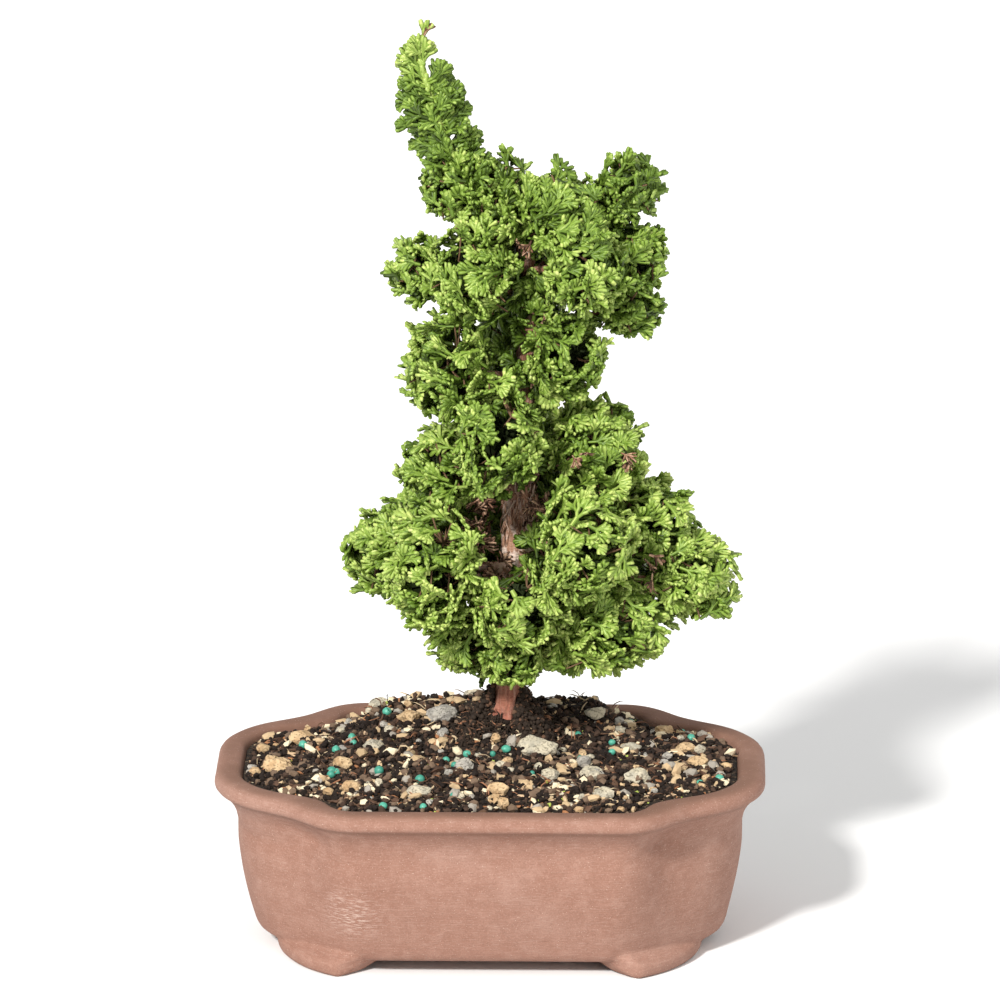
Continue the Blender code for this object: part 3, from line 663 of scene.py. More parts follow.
@dataclass
class Pot:
    """The clay pot: a lipped bowl whose four corner feet flow out of its wall."""

    rim: Plan = Plan(101.0, 54.5, 40.0, 66.0, 72.5, 18.0, 18.0)
    shoulder: Plan = Plan(92.6, 46.5, 36.0, 59.5, 64.0, 14.0, 18.0)
    base: Plan = Plan(85.4, 38.0, 33.0, 59.5, 51.0, 20.0, 20.0)
    feet: Plan = Plan(78.5, 62.0, 46.5, 30.0, 51.0, 20.0, 1.0)
    rim_top: float = 67.0
    rim_width: float = 9.9
    underside: float = 5.0
    wall: float = 7.0
    upright_from: float = 42.0
    curve: float = 1.45
    wall_heights: tuple[float, float, float] = (18.0, 49.0, 2.5)
    lip_inside: float = 62.0
    inner_heights: tuple[float, ...] = (56.0, 48.0, 24.0)
    floor_top: float = 13.0
    floor_inset: float = 11.0
    foot_middle: float = math.radians(27.8)
    foot_half: tuple[float, float] = (math.radians(16.6), math.radians(20.8))
    foot_blend: float = 1.4
    columns: int = 320
    crowding: float = 0.8
    unevenness: float = 0.28
    under_foot: tuple = (
        (30, 5), (20, 5), (16.4, 5), (14.2, 2.4), (12.4, 0.2), (10.5, 0), (7, 0), (4.2, 0), (2.9, 0.06),
        (1.9, 0.35), (1.1, 1), (0.6, 2), (0.3, 3.2), (0.2, 4.2),
    )
    under_wall: tuple = (
        30, 20, 16, 13.5, 11.5, 9.5, 7.5, 6, 5, 4.4, 4, 3.7, 3.45, 3.2,
    )
    foot_top: tuple = (
        (5.35, 2.1, 0.4), (5.9, 1.2, 1), (6.6, 0.6, 2), (7.4, 0.3, 3.5), (8.2, 0.12, 5.6), (9.2, 0.03, 8.4),
        (10.4, 0, 12.5), (12.5, 0, 18), (15, 0, 24),
    )
    lip: tuple = (
        (8.3, -16.5), (7.8, -14.2), (6.8, -12), (5.4, -10), (3.8, -8.3), (2.5, -7.1), (2, -6.5),
        (1.5, -6.2), (0.7, -5.8), (0.2, -5.1), (0, -4.2), (0.1, -3), (0.4, -1.9), (1.1, -0.9), (2.2, -0.25),
        (3.8, 0), (5.8, 0), (7.6, -0.1), (8.8, -0.4), (9.6, -1.1), (10.1, -2.4),
    )
    # Lip rings in the crease under the lip, which take a painted shade line.
    crease_shade_rings: tuple[int, ...] = (5, 6, 7)
    # Lip rings over which the rim's painted shade and stains fade in; the rings inside the pot take them
    # fully.
    shaded_and_stained_rings: tuple[float, float] = (11.0, 16.0)

    def wall_plan(self, height: float) -> Plan:
        """The wall's outline at this height: upright above, drawn in by an even curve below."""
        share = (self.upright_from - height) / (self.upright_from - self.underside + 1.0)
        return self.shoulder.towards(self.base, min(max(share, 0.0), 1.0) ** self.curve)

    def angles(self, columns: int) -> Array:
        """Polar angles that space points about evenly round the long outline."""
        turn = np.arange(columns) * 2 * math.pi / columns
        return np.arctan2(self.crowding * np.sin(turn), np.cos(turn))

    def on_foot(self, angles: Array) -> Array:
        """Tells how much of a foot there is at each polar angle, from 0 between the feet to 1 on one."""
        folded = np.abs(np.arctan2(np.sin(angles), np.cos(angles)))
        folded = np.minimum(folded, math.pi - folded)
        return 1 - smooth(np.abs(folded - self.foot_middle), *self.foot_half)

    @staticmethod
    def ring(plan: Plan, angles: Array, inset: float, height: float) -> Array:
        """One ring of points round the pot."""
        return np.column_stack([plan.points(angles, inset), np.full(len(angles), height)])

    def lower_rings(self, angles: Array) -> Iterator[Array]:
        """Goes from the middle of the underside out, and up to where the feet have run into the wall.

        Args:
            angles: Polar angles of each ring's points.

        Yields:
            Each ring.
        """
        foot = self.on_foot(angles)[:, None]
        for (foot_inset, foot_height), inset in zip(self.under_foot, self.under_wall):
            plain = self.ring(self.wall_plan(self.underside), angles, inset, self.underside)
            footed = self.ring(self.feet, angles, foot_inset, foot_height)
            yield plain + (footed - plain) * foot
        for height, inset, foot_inset in self.foot_top:
            plain = self.ring(self.wall_plan(height), angles, inset, height)
            footed = self.ring(self.feet, angles, foot_inset, height)
            flat = plain * np.array([1.0, 1.0, 0.0])
            excess = np.linalg.norm(footed[:, :2], axis=1) - np.linalg.norm(flat, axis=1)
            eased = (excess + np.sqrt(excess * excess + self.foot_blend)) / 2
            yield plain + unit(flat) * (eased * smooth(foot[:, 0], 0.0, 1.0))[:, None]

    def rings(self, angles: Array) -> Iterator[tuple[Array, float, float]]:
        """Goes from the underside up the wall, over the lip and down to the floor inside.

        Args:
            angles: Polar angles of each ring's points.

        Yields:
            Each ring, and how much it takes of the rim's painted shade and stains and of the painted shade in
            the crease under the lip.
        """
        for ring in self.lower_rings(angles):
            yield ring, 0.0, 0.0
        for height in np.arange(*self.wall_heights):
            yield self.ring(self.wall_plan(height), angles, 0.0, height), 0.0, 0.0
        for index, (inset, drop) in enumerate(self.lip):
            crease = 1.0 if index in self.crease_shade_rings else 0.0
            ring = self.ring(self.rim, angles, inset, self.rim_top + drop)
            yield ring, float(smooth(index, *self.shaded_and_stained_rings)), crease
        yield self.ring(self.rim, angles, self.rim_width + 0.9, self.lip_inside), 1.0, 0.0
        for height in self.inner_heights:
            yield self.ring(self.wall_plan(height), angles, self.wall, height), 1.0, 0.0
        floor = self.ring(self.wall_plan(self.floor_top), angles, self.floor_inset, self.floor_top)
        yield floor, 1.0, 0.0

    def build(self) -> None:
        """Makes the pot and dresses it."""
        angles = self.angles(self.columns)
        rings, rim_shade_and_stain, crease_shades = zip(*self.rings(angles))
        points = np.array(rings)
        outward = np.concatenate([unit(points[..., :2]), np.zeros((*points.shape[:2], 1))], axis=2)
        swell = layered_noise(points / np.array([34.0, 34.0, 22.0]), 5)
        ripple = layered_noise(points / np.array([9.0, 9.0, 5.0]), 9, 2)
        points = points + outward * (swell * self.unevenness + ripple * 0.07)[..., None]
        points[..., 2] += smooth(points[..., 2], 50.0, 64.0) * value_noise(points / 38.0, 21) * 0.25
        count, columns = points.shape[:2]
        last = count * columns
        middles = np.array([[0.0, 0.0, self.underside], [0.0, 0.0, self.floor_top]])
        under, inside = fan_faces(0, columns, last)[:, ::-1], fan_faces(last - columns, columns, last + 1)
        batch = Batch()
        walls = (grid_faces(count, columns), 0)
        batch.add(np.concatenate([points.reshape(-1, 3), middles]), walls, (under, 0), (inside, 0))
        pot = batch.build("clay_pot", [ClayFinish().make()])
        for name, shades in (("rim", rim_shade_and_stain), ("crease", crease_shades)):
            values = np.append(np.repeat(shades, columns), [0.0, 0.0]).astype(np.float32)
            pot.data.attributes.new(name, "FLOAT", "POINT").data.foreach_set("value", values)
        give(pot, ["pot"])


class Grain(Enum):
    """Kinds of loose pieces on the soil."""

    PEAT = (PlainFinish("crumb_peat", (0.013, 0.007, 0.0045), 0.85, 0.3), 4900, (0.5, 1.8), (0.85, 0.8))
    BROWN = (PlainFinish("crumb_brown", (0.055, 0.031, 0.02), 0.85, 0.3), 1900, (0.5, 2.0), (0.8, 0.65))
    UMBER = (PlainFinish("crumb_umber", (0.15, 0.098, 0.064), 0.85, 0.3), 800, (0.6, 2.5), (0.8, 0.7))
    BARK = (PlainFinish("chip_bark", (0.095, 0.05, 0.03), 0.8, 0.3), 440, (1.6, 4.8), (0.4, 0.16))
    BUFF = (PlainFinish("chip_buff", (0.5, 0.36, 0.21), 0.8, 0.3), 540, (0.5, 3.6), (0.75, 0.5))
    CREAM = (PlainFinish("chip_cream", (0.73, 0.62, 0.43), 0.75, 0.3), 540, (0.4, 3.6), (0.65, 0.4))
    GREY = (PlainFinish("chip_grey", (0.32, 0.285, 0.24), 0.8, 0.3), 270, (0.5, 3.2), (0.8, 0.6))
    RUST = (PlainFinish("chip_rust", (0.32, 0.14, 0.062), 0.8, 0.3), 460, (0.6, 3.0), (0.4, 0.25))
    SPLINTER = (PlainFinish("chip_splinter", (0.56, 0.39, 0.24), 0.8, 0.3), 420, (1.0, 4.0), (0.32, 0.14))
    SPROUT = (PlainFinish("chip_green", (0.36, 0.43, 0.08), 0.6, 0.4), 110, (0.5, 1.5), (0.7, 0.6))

    def __init__(self, finish: PlainFinish, amount: int, sizes: tuple, shares: tuple) -> None:
        """Names a kind's look, how many there are, their half lengths, and width and height as shares."""
        self.finish = finish
        self.amount = amount
        self.sizes = sizes
        self.form = np.array([1.0, *shares])


class Rubble:
    """Shapes for stones and crumbs: balls cut by random planes."""

    cut_depths = (0.62, 0.92)

    def __init__(self, rng: np.random.Generator) -> None:
        """Keeps the source of their irregularity."""
        self.rng = rng

    @staticmethod
    def ball(detail: int) -> tuple[Array, Array]:
        """Makes a ball from an icosahedron.

        Args:
            detail: How often its faces are divided.

        Returns:
            Points and triangles.
        """
        ball = bmesh.new()
        bmesh.ops.create_icosphere(ball, subdivisions=detail, radius=1.0)
        points = np.array([vert.co for vert in ball.verts])
        faces = np.array([[vert.index for vert in face.verts] for face in ball.faces])
        ball.free()
        return points, faces

    def cut(self, headings: Array, planes: int, rough: float, seed: int) -> Array:
        """Shapes a rock.

        Args:
            headings: Points of a ball.
            planes: How many faces are cut.
            rough: How uneven its surface is, as a share of its radius.
            seed: Chooses that unevenness.

        Returns:
            The ball's points, drawn in to the rock's surface.
        """
        normals = unit(self.rng.normal(size=(planes, 3)))
        depths = self.rng.uniform(*self.cut_depths, planes)
        lean = np.maximum(headings @ normals.T, 1e-3)
        radius = np.minimum((depths / lean).min(axis=1), 1.0)
        return headings * (radius * (1 + rough * layered_noise(headings * 2.6, seed, 3)))[:, None]

    def turns(self, count: int, tilt: float) -> Array:
        """Turns pieces any way round, and tilts them a little from level.

        Args:
            count: How many pieces.
            tilt: How much they tilt, in radians.

        Returns:
            A rotation matrix for each.
        """
        spin = self.rng.uniform(0, 2 * math.pi, count)
        lean = self.rng.normal(0, tilt, count)
        way = self.rng.uniform(0, 2 * math.pi, count)
        up = np.column_stack([around(way) * np.sin(lean)[:, None], np.cos(lean)])
        side = square_to(up, np.column_stack([around(spin), np.zeros(count)]))
        return np.stack([side, np.cross(up, side), up], axis=2)

    def strewn(self, shape: Array, count: int) -> Array:
        """Copies of a shape, turned and tilted each its own way."""
        return np.einsum("nij,vj->nvi", self.turns(count, 0.7), shape)


@dataclass
class Soil:
    """Gritty bonsai soil: a dark bed under thousands of crumbs, chips, stones, prills and fibres."""

    pot: Pot
    foot: tuple[float, float] = (6.0, 8.0)
    edge: float = 62.0
    dome: float = 8.5
    dome_reach: float = 60.0
    collar: float = 12.0
    collar_reach: float = 15.0
    heap: float = 10.0
    heap_rise: tuple[float, float] = (2.0, 20.0)
    heap_back: tuple[float, float] = (5.0, 35.0)
    heap_sides: tuple[float, float] = (38.0, 60.0)
    lump_height: float = 1.2
    gap: float = 1.5
    sunk: float = 1.2
    buried: float = 14.0
    bed_columns: int = 260
    bed_rows: int = 60
    spread: tuple[float, float] = (92.0, 64.0)
    clump: float = 8.0
    clump_level: float = -0.12
    shapes_of_each: int = 10
    gravel: int = 110
    more_prills: int = 9
    prill_radius: tuple[float, float] = (1.2, 1.8)
    fibres: int = 700
    fringe: int = 2900
    fringe_start: float = 6.4
    fringe_reach: float = 14.0
    moss: int = 2600
    moss_start: float = 5.4
    moss_reach: float = 12.0
    moss_height: float = 14.0
    moss_turns: tuple[float, float] = (-1.15, math.pi + 0.4)
    moss_full_from: float = -0.35
    rng: np.random.Generator = field(default_factory=lambda: np.random.default_rng(17))
    stones: tuple = (
        (-19, 24, 6, 3.2, 0), (17.5, -5, 7.4, 4, 1), (-70, 18, 5, 2.6, 2), (-78, -12, 5.6, 2.8, 2),
        (-31, 22, 4.4, 2.4, 2), (54, -27, 5.2, 2.8, 1), (-42, 48, 4.2, 2.4, 1), (-7.5, 43, 4, 2.4, 1),
        (3.4, -43, 4.2, 2.5, 2), (21.6, -26, 3.8, 2.3, 1), (36.5, -21, 4.4, 2.4, 1), (42, -44, 4.4, 2.5, 1),
        (64, 33, 4, 2.3, 2), (51.6, 4, 3.9, 2.3, 1), (72, 14, 3.8, 2.2, 2), (76, -8, 3.8, 2.2, 2),
        (-25, -45, 4.6, 2.6, 1), (-54.6, -13, 4, 2.3, 2), (-43, 2, 4, 2.3, 1), (-50, -39, 4, 2.3, 2),
        (-10, -17, 4, 2.4, 0), (38, 27, 4, 2.3, 1),
    )
    prills: tuple = (
        (-69.4, 8.6), (-57.0, 2.3), (-50.9, 15.3), (-57.8, -25.6), (-40.5, -19.6), (-25.2, -29.7),
        (-37.7, -56.5), (-23.2, -57.0), (-16.2, -9.0), (-8.5, -8.8), (1.0, -10.3), (5.8, -9.0),
        (13.7, -5.0), (15.6, -24.1), (44.5, 9.2), (44.6, -0.8), (31.9, 15.5), (32.9, -7.7), (70.2, 38.0),
        (73.6, 25.5), (84.0, -20.0),
    )
    stone_finishes: tuple = (
        StoneFinish("stone_grey", (0.4, 0.37, 0.32), (0.3, 0.28, 0.25), (0.11, 0.095, 0.08)),
        StoneFinish("stone_pale", (0.52, 0.46, 0.34), (0.36, 0.33, 0.26), (0.15, 0.125, 0.09)),
        StoneFinish("stone_tan", (0.56, 0.4, 0.23), (0.42, 0.27, 0.14), (0.18, 0.11, 0.06)),
    )
    prill_finishes: tuple = (
        PlainFinish("prill_teal", (0.072, 0.335, 0.24), 0.42, 0.45),
        PlainFinish("prill_deep", (0.045, 0.25, 0.18), 0.45, 0.45),
    )
    fibre_finishes: tuple = (
        PlainFinish("fibre_dark", (0.026, 0.016, 0.01), 0.85, 0.3),
        PlainFinish("fibre_brown", (0.11, 0.058, 0.034), 0.85, 0.3),
        PlainFinish("fibre_rust", (0.33, 0.15, 0.08), 0.8, 0.3),
        PlainFinish("fibre_straw", (0.56, 0.43, 0.27), 0.8, 0.3),
    )

    def inward(self, spots: Array) -> Array:
        """How far inside the rim's own inner edge each place lies."""
        return -self.pot.rim.distance(*spots.T) - self.pot.rim_width - self.gap

    def height(self, spots: Array) -> Array:
        """The soil's surface: a lumpy dome, heaped behind the trunk, with a collar round the trunk.

        Args:
            spots: Level places, two numbers to a row.

        Returns:
            A height for each.
        """
        x, y = spots.T
        edge = np.clip(-self.pot.rim.distance(x, y) / self.dome_reach, 0, 1)
        collar = np.exp(-((np.hypot(*(spots - self.foot).T) / self.collar_reach) ** 2))
        lumps = np.cos(x / 6.3 + 0.8) * np.cos(y / 5.6 + 0.4) + 0.6 * np.cos((x + 1.7 * y) / 9.0)
        lumps = lumps * np.clip(4 * edge - 0.9, 0, 1) * (1 - collar) * self.lump_height
        heap = smooth(self.inward(spots), *self.heap_rise) * smooth(y, *self.heap_back)
        heap = heap * (1 - smooth(np.abs(x), *self.heap_sides)) * self.heap
        return self.edge + self.dome * np.sqrt(edge) + heap + self.collar * collar + lumps

    def on_bed(self, spots: Array, rise: Array | float) -> Array:
        """Points this far above the bed, which lies a little under the surface of the loose pieces."""
        lumps = flat_noise(spots, 6.0, 3, 3) * 0.9 * np.clip(self.inward(spots) / 5.0, 0, 1)
        return np.column_stack([spots, self.height(spots) + lumps - self.sunk + rise])

    def build_bed(self) -> None:
        """Makes the dark bed, from the pot's wall to the trunk."""
        edge = self.pot.rim.points(self.pot.angles(self.bed_columns), self.pot.rim_width + self.gap - 0.9)
        rings = [np.column_stack([edge, np.full(len(edge), self.edge - self.buried)])]
        for share in np.linspace(0, 0.98, self.bed_rows):
            spots = edge + (np.array(self.foot) - edge) * share
            rings.append(self.on_bed(spots, flat_noise(spots, 1.7, 12, 1) * 0.72))
        batch = Batch()
        batch.add(np.concatenate(rings), (grid_faces(len(rings), len(edge)), 0))
        give(batch.build("soil_bed", [PeatFinish().make()]), ["soil"])

    def scatter(self, count: int, inset: float) -> Array:
        """Strews at most this many places over the soil, which keep this far from the rim."""
        spots = self.rng.uniform(-1, 1, (count * 2, 2)) * np.array(self.spread)
        return spots[self.inward(spots) > inset][:count]

    def build_grains(self) -> None:
        """Makes crumbs and chips of every kind, half settled in the bed, in a dark and a light piece."""
        rubble = Rubble(self.rng)
        ball, faces = rubble.ball(1)
        kinds = list(Grain)
        for name, group in (("peat_crumbs", kinds[:4]), ("grit_chips", kinds[4:])):
            batch = Batch()
            for slot, grain in enumerate(group):
                spots = self.scatter(grain.amount, 1.2)
                if name == "grit_chips":
                    spots = spots[flat_noise(spots, self.clump, 23, 2) > self.clump_level]
                for part in np.array_split(spots, self.shapes_of_each):
                    shape = rubble.cut(ball, 7, 0.25, slot) * grain.form
                    shape = shape * np.array([1.0, self.rng.uniform(0.8, 1.2), 1.0])
                    low, high = grain.sizes
                    sizes = low + (high - low) * self.rng.random(len(part)) ** 2.0
                    copies = rubble.strewn(shape, len(part)) * sizes[:, None, None]
                    rise = sizes * grain.form[2] * self.rng.uniform(0.1, 1.1, len(part))
                    batch.add(copies + self.on_bed(part, rise)[:, None], (faces, slot))
            give(batch.build(name, [grain.finish.make() for grain in group], soft=False))

    def build_stones(self) -> None:
        """Makes the large stones, and the gravel between them in size."""
        rubble = Rubble(self.rng)
        batch = Batch()
        ball, faces = rubble.ball(4)
        for index, (x, y, half_length, half_height, kind) in enumerate(self.stones):
            sizes = np.array([half_length * 1.06, half_length * 0.8, half_height * 1.15])
            spot = np.array([[x, y]])
            middle = np.append(spot, self.height(spot) + half_height * 0.15)
            batch.add(rubble.cut(ball, 11, 0.16, 40 + index) * sizes + middle, (faces, kind))
        ball, faces = rubble.ball(2)
        for x, y in self.scatter(self.gravel, 2.5):
            size = 1.4 + 2.2 * self.rng.random() ** 2
            shape = rubble.cut(ball, 9, 0.3, int(x * 7) % 97) * np.array([1.0, 0.8, 0.65]) * size
            shape = shape @ rubble.turns(1, 0.4)[0].T
            middle = self.on_bed(np.array([[x, y]]), size * 0.45)
            batch.add(shape + middle, (faces, int(self.rng.integers(0, len(self.stone_finishes)))))
        finishes = [finish.make() for finish in self.stone_finishes]
        give(batch.build("soil_stones", finishes, soft=False))

    def build_prills(self) -> None:
        """Makes round teal prills of slow fertiliser."""
        ball, faces = Rubble.ball(3)
        batch = Batch()
        for x, y in [*self.prills, *self.scatter(self.more_prills, 1.0)]:
            size = self.rng.uniform(*self.prill_radius)
            squash = self.rng.uniform(0.8, 1.08, 3)
            lumps = 1 + 0.12 * layered_noise(ball * 1.9 + x, 5, 2)[:, None]
            middle = self.on_bed(np.array([[x, y]]), size * self.rng.uniform(0.35, 0.95))
            batch.add(ball * lumps * squash * size + middle, (faces, int(self.rng.integers(0, 2))))
        give(batch.build("prills", [finish.make() for finish in self.prill_finishes]))

    def build_fibres(self) -> None:
        """Makes fibres on the soil, with a dark fringe of them and the moss round the trunk's foot."""
        rng = self.rng
        places = self.scatter(self.fibres, 3.0)
        turn = rng.uniform(0, 2 * math.pi, self.fringe)
        away = self.fringe_start + self.fringe_reach * rng.random(self.fringe) ** 1.8
        fringe = around(turn) * away[:, None] + self.foot
        across, back = (fringe - self.foot).T
        spots = np.concatenate([places, fringe[back > -8.0 - 0.3 * np.abs(across)]])
        count = len(spots)
        inner = np.arange(count) >= len(places)
        _, back = (spots - self.foot).T
        near_trunk = np.exp(-((np.hypot(*(spots - self.foot).T) - 6.0) / 7.0))
        near_trunk = near_trunk * smooth(back, -6.0, 2.0) * inner
        rise = rng.uniform(0.1, 1.0, count) + near_trunk * rng.uniform(0.0, 11.0, count)
        bases = self.on_bed(spots, rise)
        heading = rng.uniform(0, 2 * math.pi, count)
        lean = np.where(inner, rng.normal(0.2, 0.55, count), rng.normal(0.08, 0.22, count))
        lengths = np.where(inner, rng.uniform(1.6, 4.6, count), rng.uniform(2.5, 8.0, count))
        ways = np.column_stack([around(heading) * np.cos(lean)[:, None], np.sin(lean)])
        ends = bases + ways * lengths[:, None]
        ends[:, 2] = np.maximum(ends[:, 2], self.on_bed(ends[:, :2], 0.2)[:, 2])
        inside = self.inward(ends[:, :2]) > 0.5
        widths = np.where(inner, rng.uniform(0.25, 0.65, count), rng.uniform(0.14, 0.42, count))
        bends = lengths * rng.normal(0.06, 0.16, count)
        normals = unit(UP + rng.normal(0, 0.5, (count, 3)))
        odds = np.where(inner[:, None], [0.76, 0.18, 0.05, 0.01], [0.26, 0.36, 0.22, 0.16])
        kinds = (rng.random(count)[:, None] > np.cumsum(odds, axis=1)).sum(axis=1)[inside].clip(0, 3)
        batch = Batch()
        points = FIBRE.points(bases, ends, normals, widths, bends)[inside]
        FIBRE.lay(batch, points, kinds[:, None], kinds[:, None])
        self.heap_moss(batch)
        give(batch.build("soil_fibres", [finish.make() for finish in self.fibre_finishes]))

    def heap_moss(self, batch: Batch) -> None:
        """Heaps dark mossy crumbs against the sides, the back and the right front of the trunk's foot.

        Args:
            batch: The fibres' piece, whose two darkest finishes they take.
        """
        rng = self.rng
        rubble = Rubble(rng)
        ball, faces = rubble.ball(1)
        turn = rng.uniform(*self.moss_turns, self.moss)
        outward = rng.random(self.moss) ** 1.4
        away = self.moss_start + self.moss_reach * outward
        rise = rng.random(self.moss) * self.moss_height * (1 - outward) ** 0.8
        rise = rise * (0.35 + 0.65 * smooth(turn, self.moss_turns[0], self.moss_full_from))
        middles = self.on_bed(around(turn) * away[:, None] + self.foot, rise)
        crumbs = rubble.strewn(rubble.cut(ball, 7, 0.3, 3), self.moss)
        sizes = rng.uniform(0.5, 1.4, (self.moss, 1, 1))
        slots = (rng.random((self.moss, 1)) < 0.15).astype(int)
        batch.add(crumbs * sizes + middles[:, None], (faces, slots))

    def build(self) -> None:
        """Makes the soil and everything that lies on it."""
        self.build_bed()
        self.build_grains()
        self.build_stones()
        self.build_prills()
        self.build_fibres()


class Look(Enum):
    """How the sprays of a mass stand."""

    FULL = "all round"
    FLAT = "in one plane"
    TIP = "one above the other"


@dataclass(frozen=True)
class Mass:
    """One mass of foliage.

    The height is where its stem leaves the trunk. A bough is given by its two radii and its rise.
    """

    name: str
    middle: Place
    reach: Place
    tilt: float
    leaves_trunk: float
    bough: tuple[float, ...] = ()
    look: Look = Look.FULL


class Limb:
    """A trunk or bough: points along its axis with a radius at each."""

    def __init__(self, points: Array, radii: Array) -> None:
        """Keeps the axis and its radii."""
        self.points = np.array(points, float)
        self.radii = np.array(radii, float)

    def at_height(self, height: Array | float) -> tuple[Array, Array]:
        """The axis point and the radius at one height or at each of many."""
        heights = self.points[:, 2]
        point = [np.interp(height, heights, self.points[:, axis]) for axis in range(3)]
        return np.stack(point, axis=-1), np.interp(height, heights, self.radii)

    def nearest(self, points: Array) -> tuple[Array, Array]:
        """Measures how far points lie from the limb.

        Args:
            points: Three numbers to a row.

        Returns:
            For each, its distance to the limb's surface, and the line to it from the axis.
        """
        start = self.points[:-1]
        along = self.points[1:] - start
        share = ((points[:, None] - start) * along).sum(2) / (along * along).sum(1)
        share = np.clip(share, 0, 1)[..., None]
        lines = points[:, None] - (start + along * share)
        away = np.linalg.norm(lines, axis=2) - (self.radii[:-1] + np.diff(self.radii) * share[..., 0])
        best = away.argmin(axis=1)
        rows = np.arange(len(points))
        return away[rows, best], lines[rows, best]


def side_axes(ahead: Array) -> tuple[Array, Array]:
    """Finds two unit vectors square to each way ahead.

    Args:
        ahead: Three numbers to a row.

    Returns:
        The first, which is as near X as it can be, and the second, square to it.
    """
    ahead = unit(ahead)
    across = np.array([1.0, 0.0, 0.0]) - ahead[:, :1] * ahead
    other = np.array([0.0, 1.0, 0.0]) - ahead[:, 1:2] * ahead
    across = unit(np.where(np.linalg.norm(across, axis=1, keepdims=True) < 0.2, other, across))
    return across, np.cross(ahead, across)


class Room:
    """The convex room that one mass keeps to: an ellipsoid cut by planes between it and its neighbours."""

    fullness = 1.13
    margin = 0.16

    def __init__(self, mass: Mass) -> None:
        """Sets the ellipsoid that this mass fills."""
        tilt = math.radians(mass.tilt)
        self.mass = mass
        self.middle = self.centre = np.array(mass.middle, float)
        turn = np.array([
            [math.cos(tilt), 0, math.sin(tilt)],
            [0, 1, 0],
            [-math.sin(tilt), 0, math.cos(tilt)],
        ])
        self.size = float(np.prod(mass.reach) ** (1 / 3)) * self.fullness
        self.to_ball = turn / (self.fullness * np.array(mass.reach, float))[:, None]
        self.normals = np.zeros((0, 3))
        self.offsets = np.zeros(0)

    def add_plane(self, normal: Array, offset: float) -> None:
        """Keeps this mass to the side where normal . point is at most the offset."""
        self.normals = np.vstack([self.normals, normal])
        self.offsets = np.append(self.offsets, offset)

    def part_from(self, other: "Room", trunk: Limb) -> None:
        """Sets a plane between two masses, by their radii, or at the trunk where that is between them.

        Args:
            other: The neighbour.
            trunk: The trunk that may stand between them.
        """
        line = other.middle - self.middle
        length = np.linalg.norm(line)
        line = line / length
        mine, theirs = (1 / np.linalg.norm(room.to_ball @ line) for room in (self, other))
        place = length * mine / (mine + theirs)
        if length > mine + theirs:
            axis = trunk.at_height((self.middle[2] + other.middle[2]) / 2)[0]
            place = float(np.clip(line @ (axis - self.middle), mine, length - theirs))
        self.add_plane(line, float(line @ self.middle) + place - self.margin)

    def room_left(self, points: Array) -> Array:
        """Distance from each point to the nearest plane, negative beyond it."""
        return (self.offsets - points @ self.normals.T).min(axis=1)

    def shell_and_wall(self, start: Array, headings: Array) -> tuple[Array, Array]:
        """Follows rays out of the room.

        Args:
            start: Where all begin.
            headings: Unit vectors, one to a row.

        Returns:
            How far each runs before it leaves the ellipsoid, and before it meets a plane.
        """
        ball_start = self.to_ball @ (start - self.middle)
        ball = headings @ self.to_ball.T
        a = (ball * ball).sum(1)
        b = ball @ ball_start
        shell = (-b + np.sqrt(np.maximum(b * b - a * (ball_start @ ball_start - 1), 0))) / a
        rate = headings @ self.normals.T
        room = self.offsets - self.normals @ start
        wall = np.where(rate > 1e-9, room / np.maximum(rate, 1e-9), math.inf).min(axis=1)
        return shell, wall

    def entry(self, start: Array) -> Array:
        """The point, a little past the room's edge, where a line from start to the middle enters."""
        heading = unit(start - self.middle)
        shell, wall = self.shell_and_wall(self.middle, heading[None])
        return self.middle + heading * min(shell[0], wall[0]) * 0.86


@dataclass
class Spray:
    """Where one spray stands: root, heading, the way its flat side faces, its length and its tone."""

    root: Array
    axis: Array
    normal: Array
    length: float
    tone: float
    dead: bool = False


class Rank(IntEnum):
    """Parts of a spray."""

    JOINT = 1
    FINGER = 2


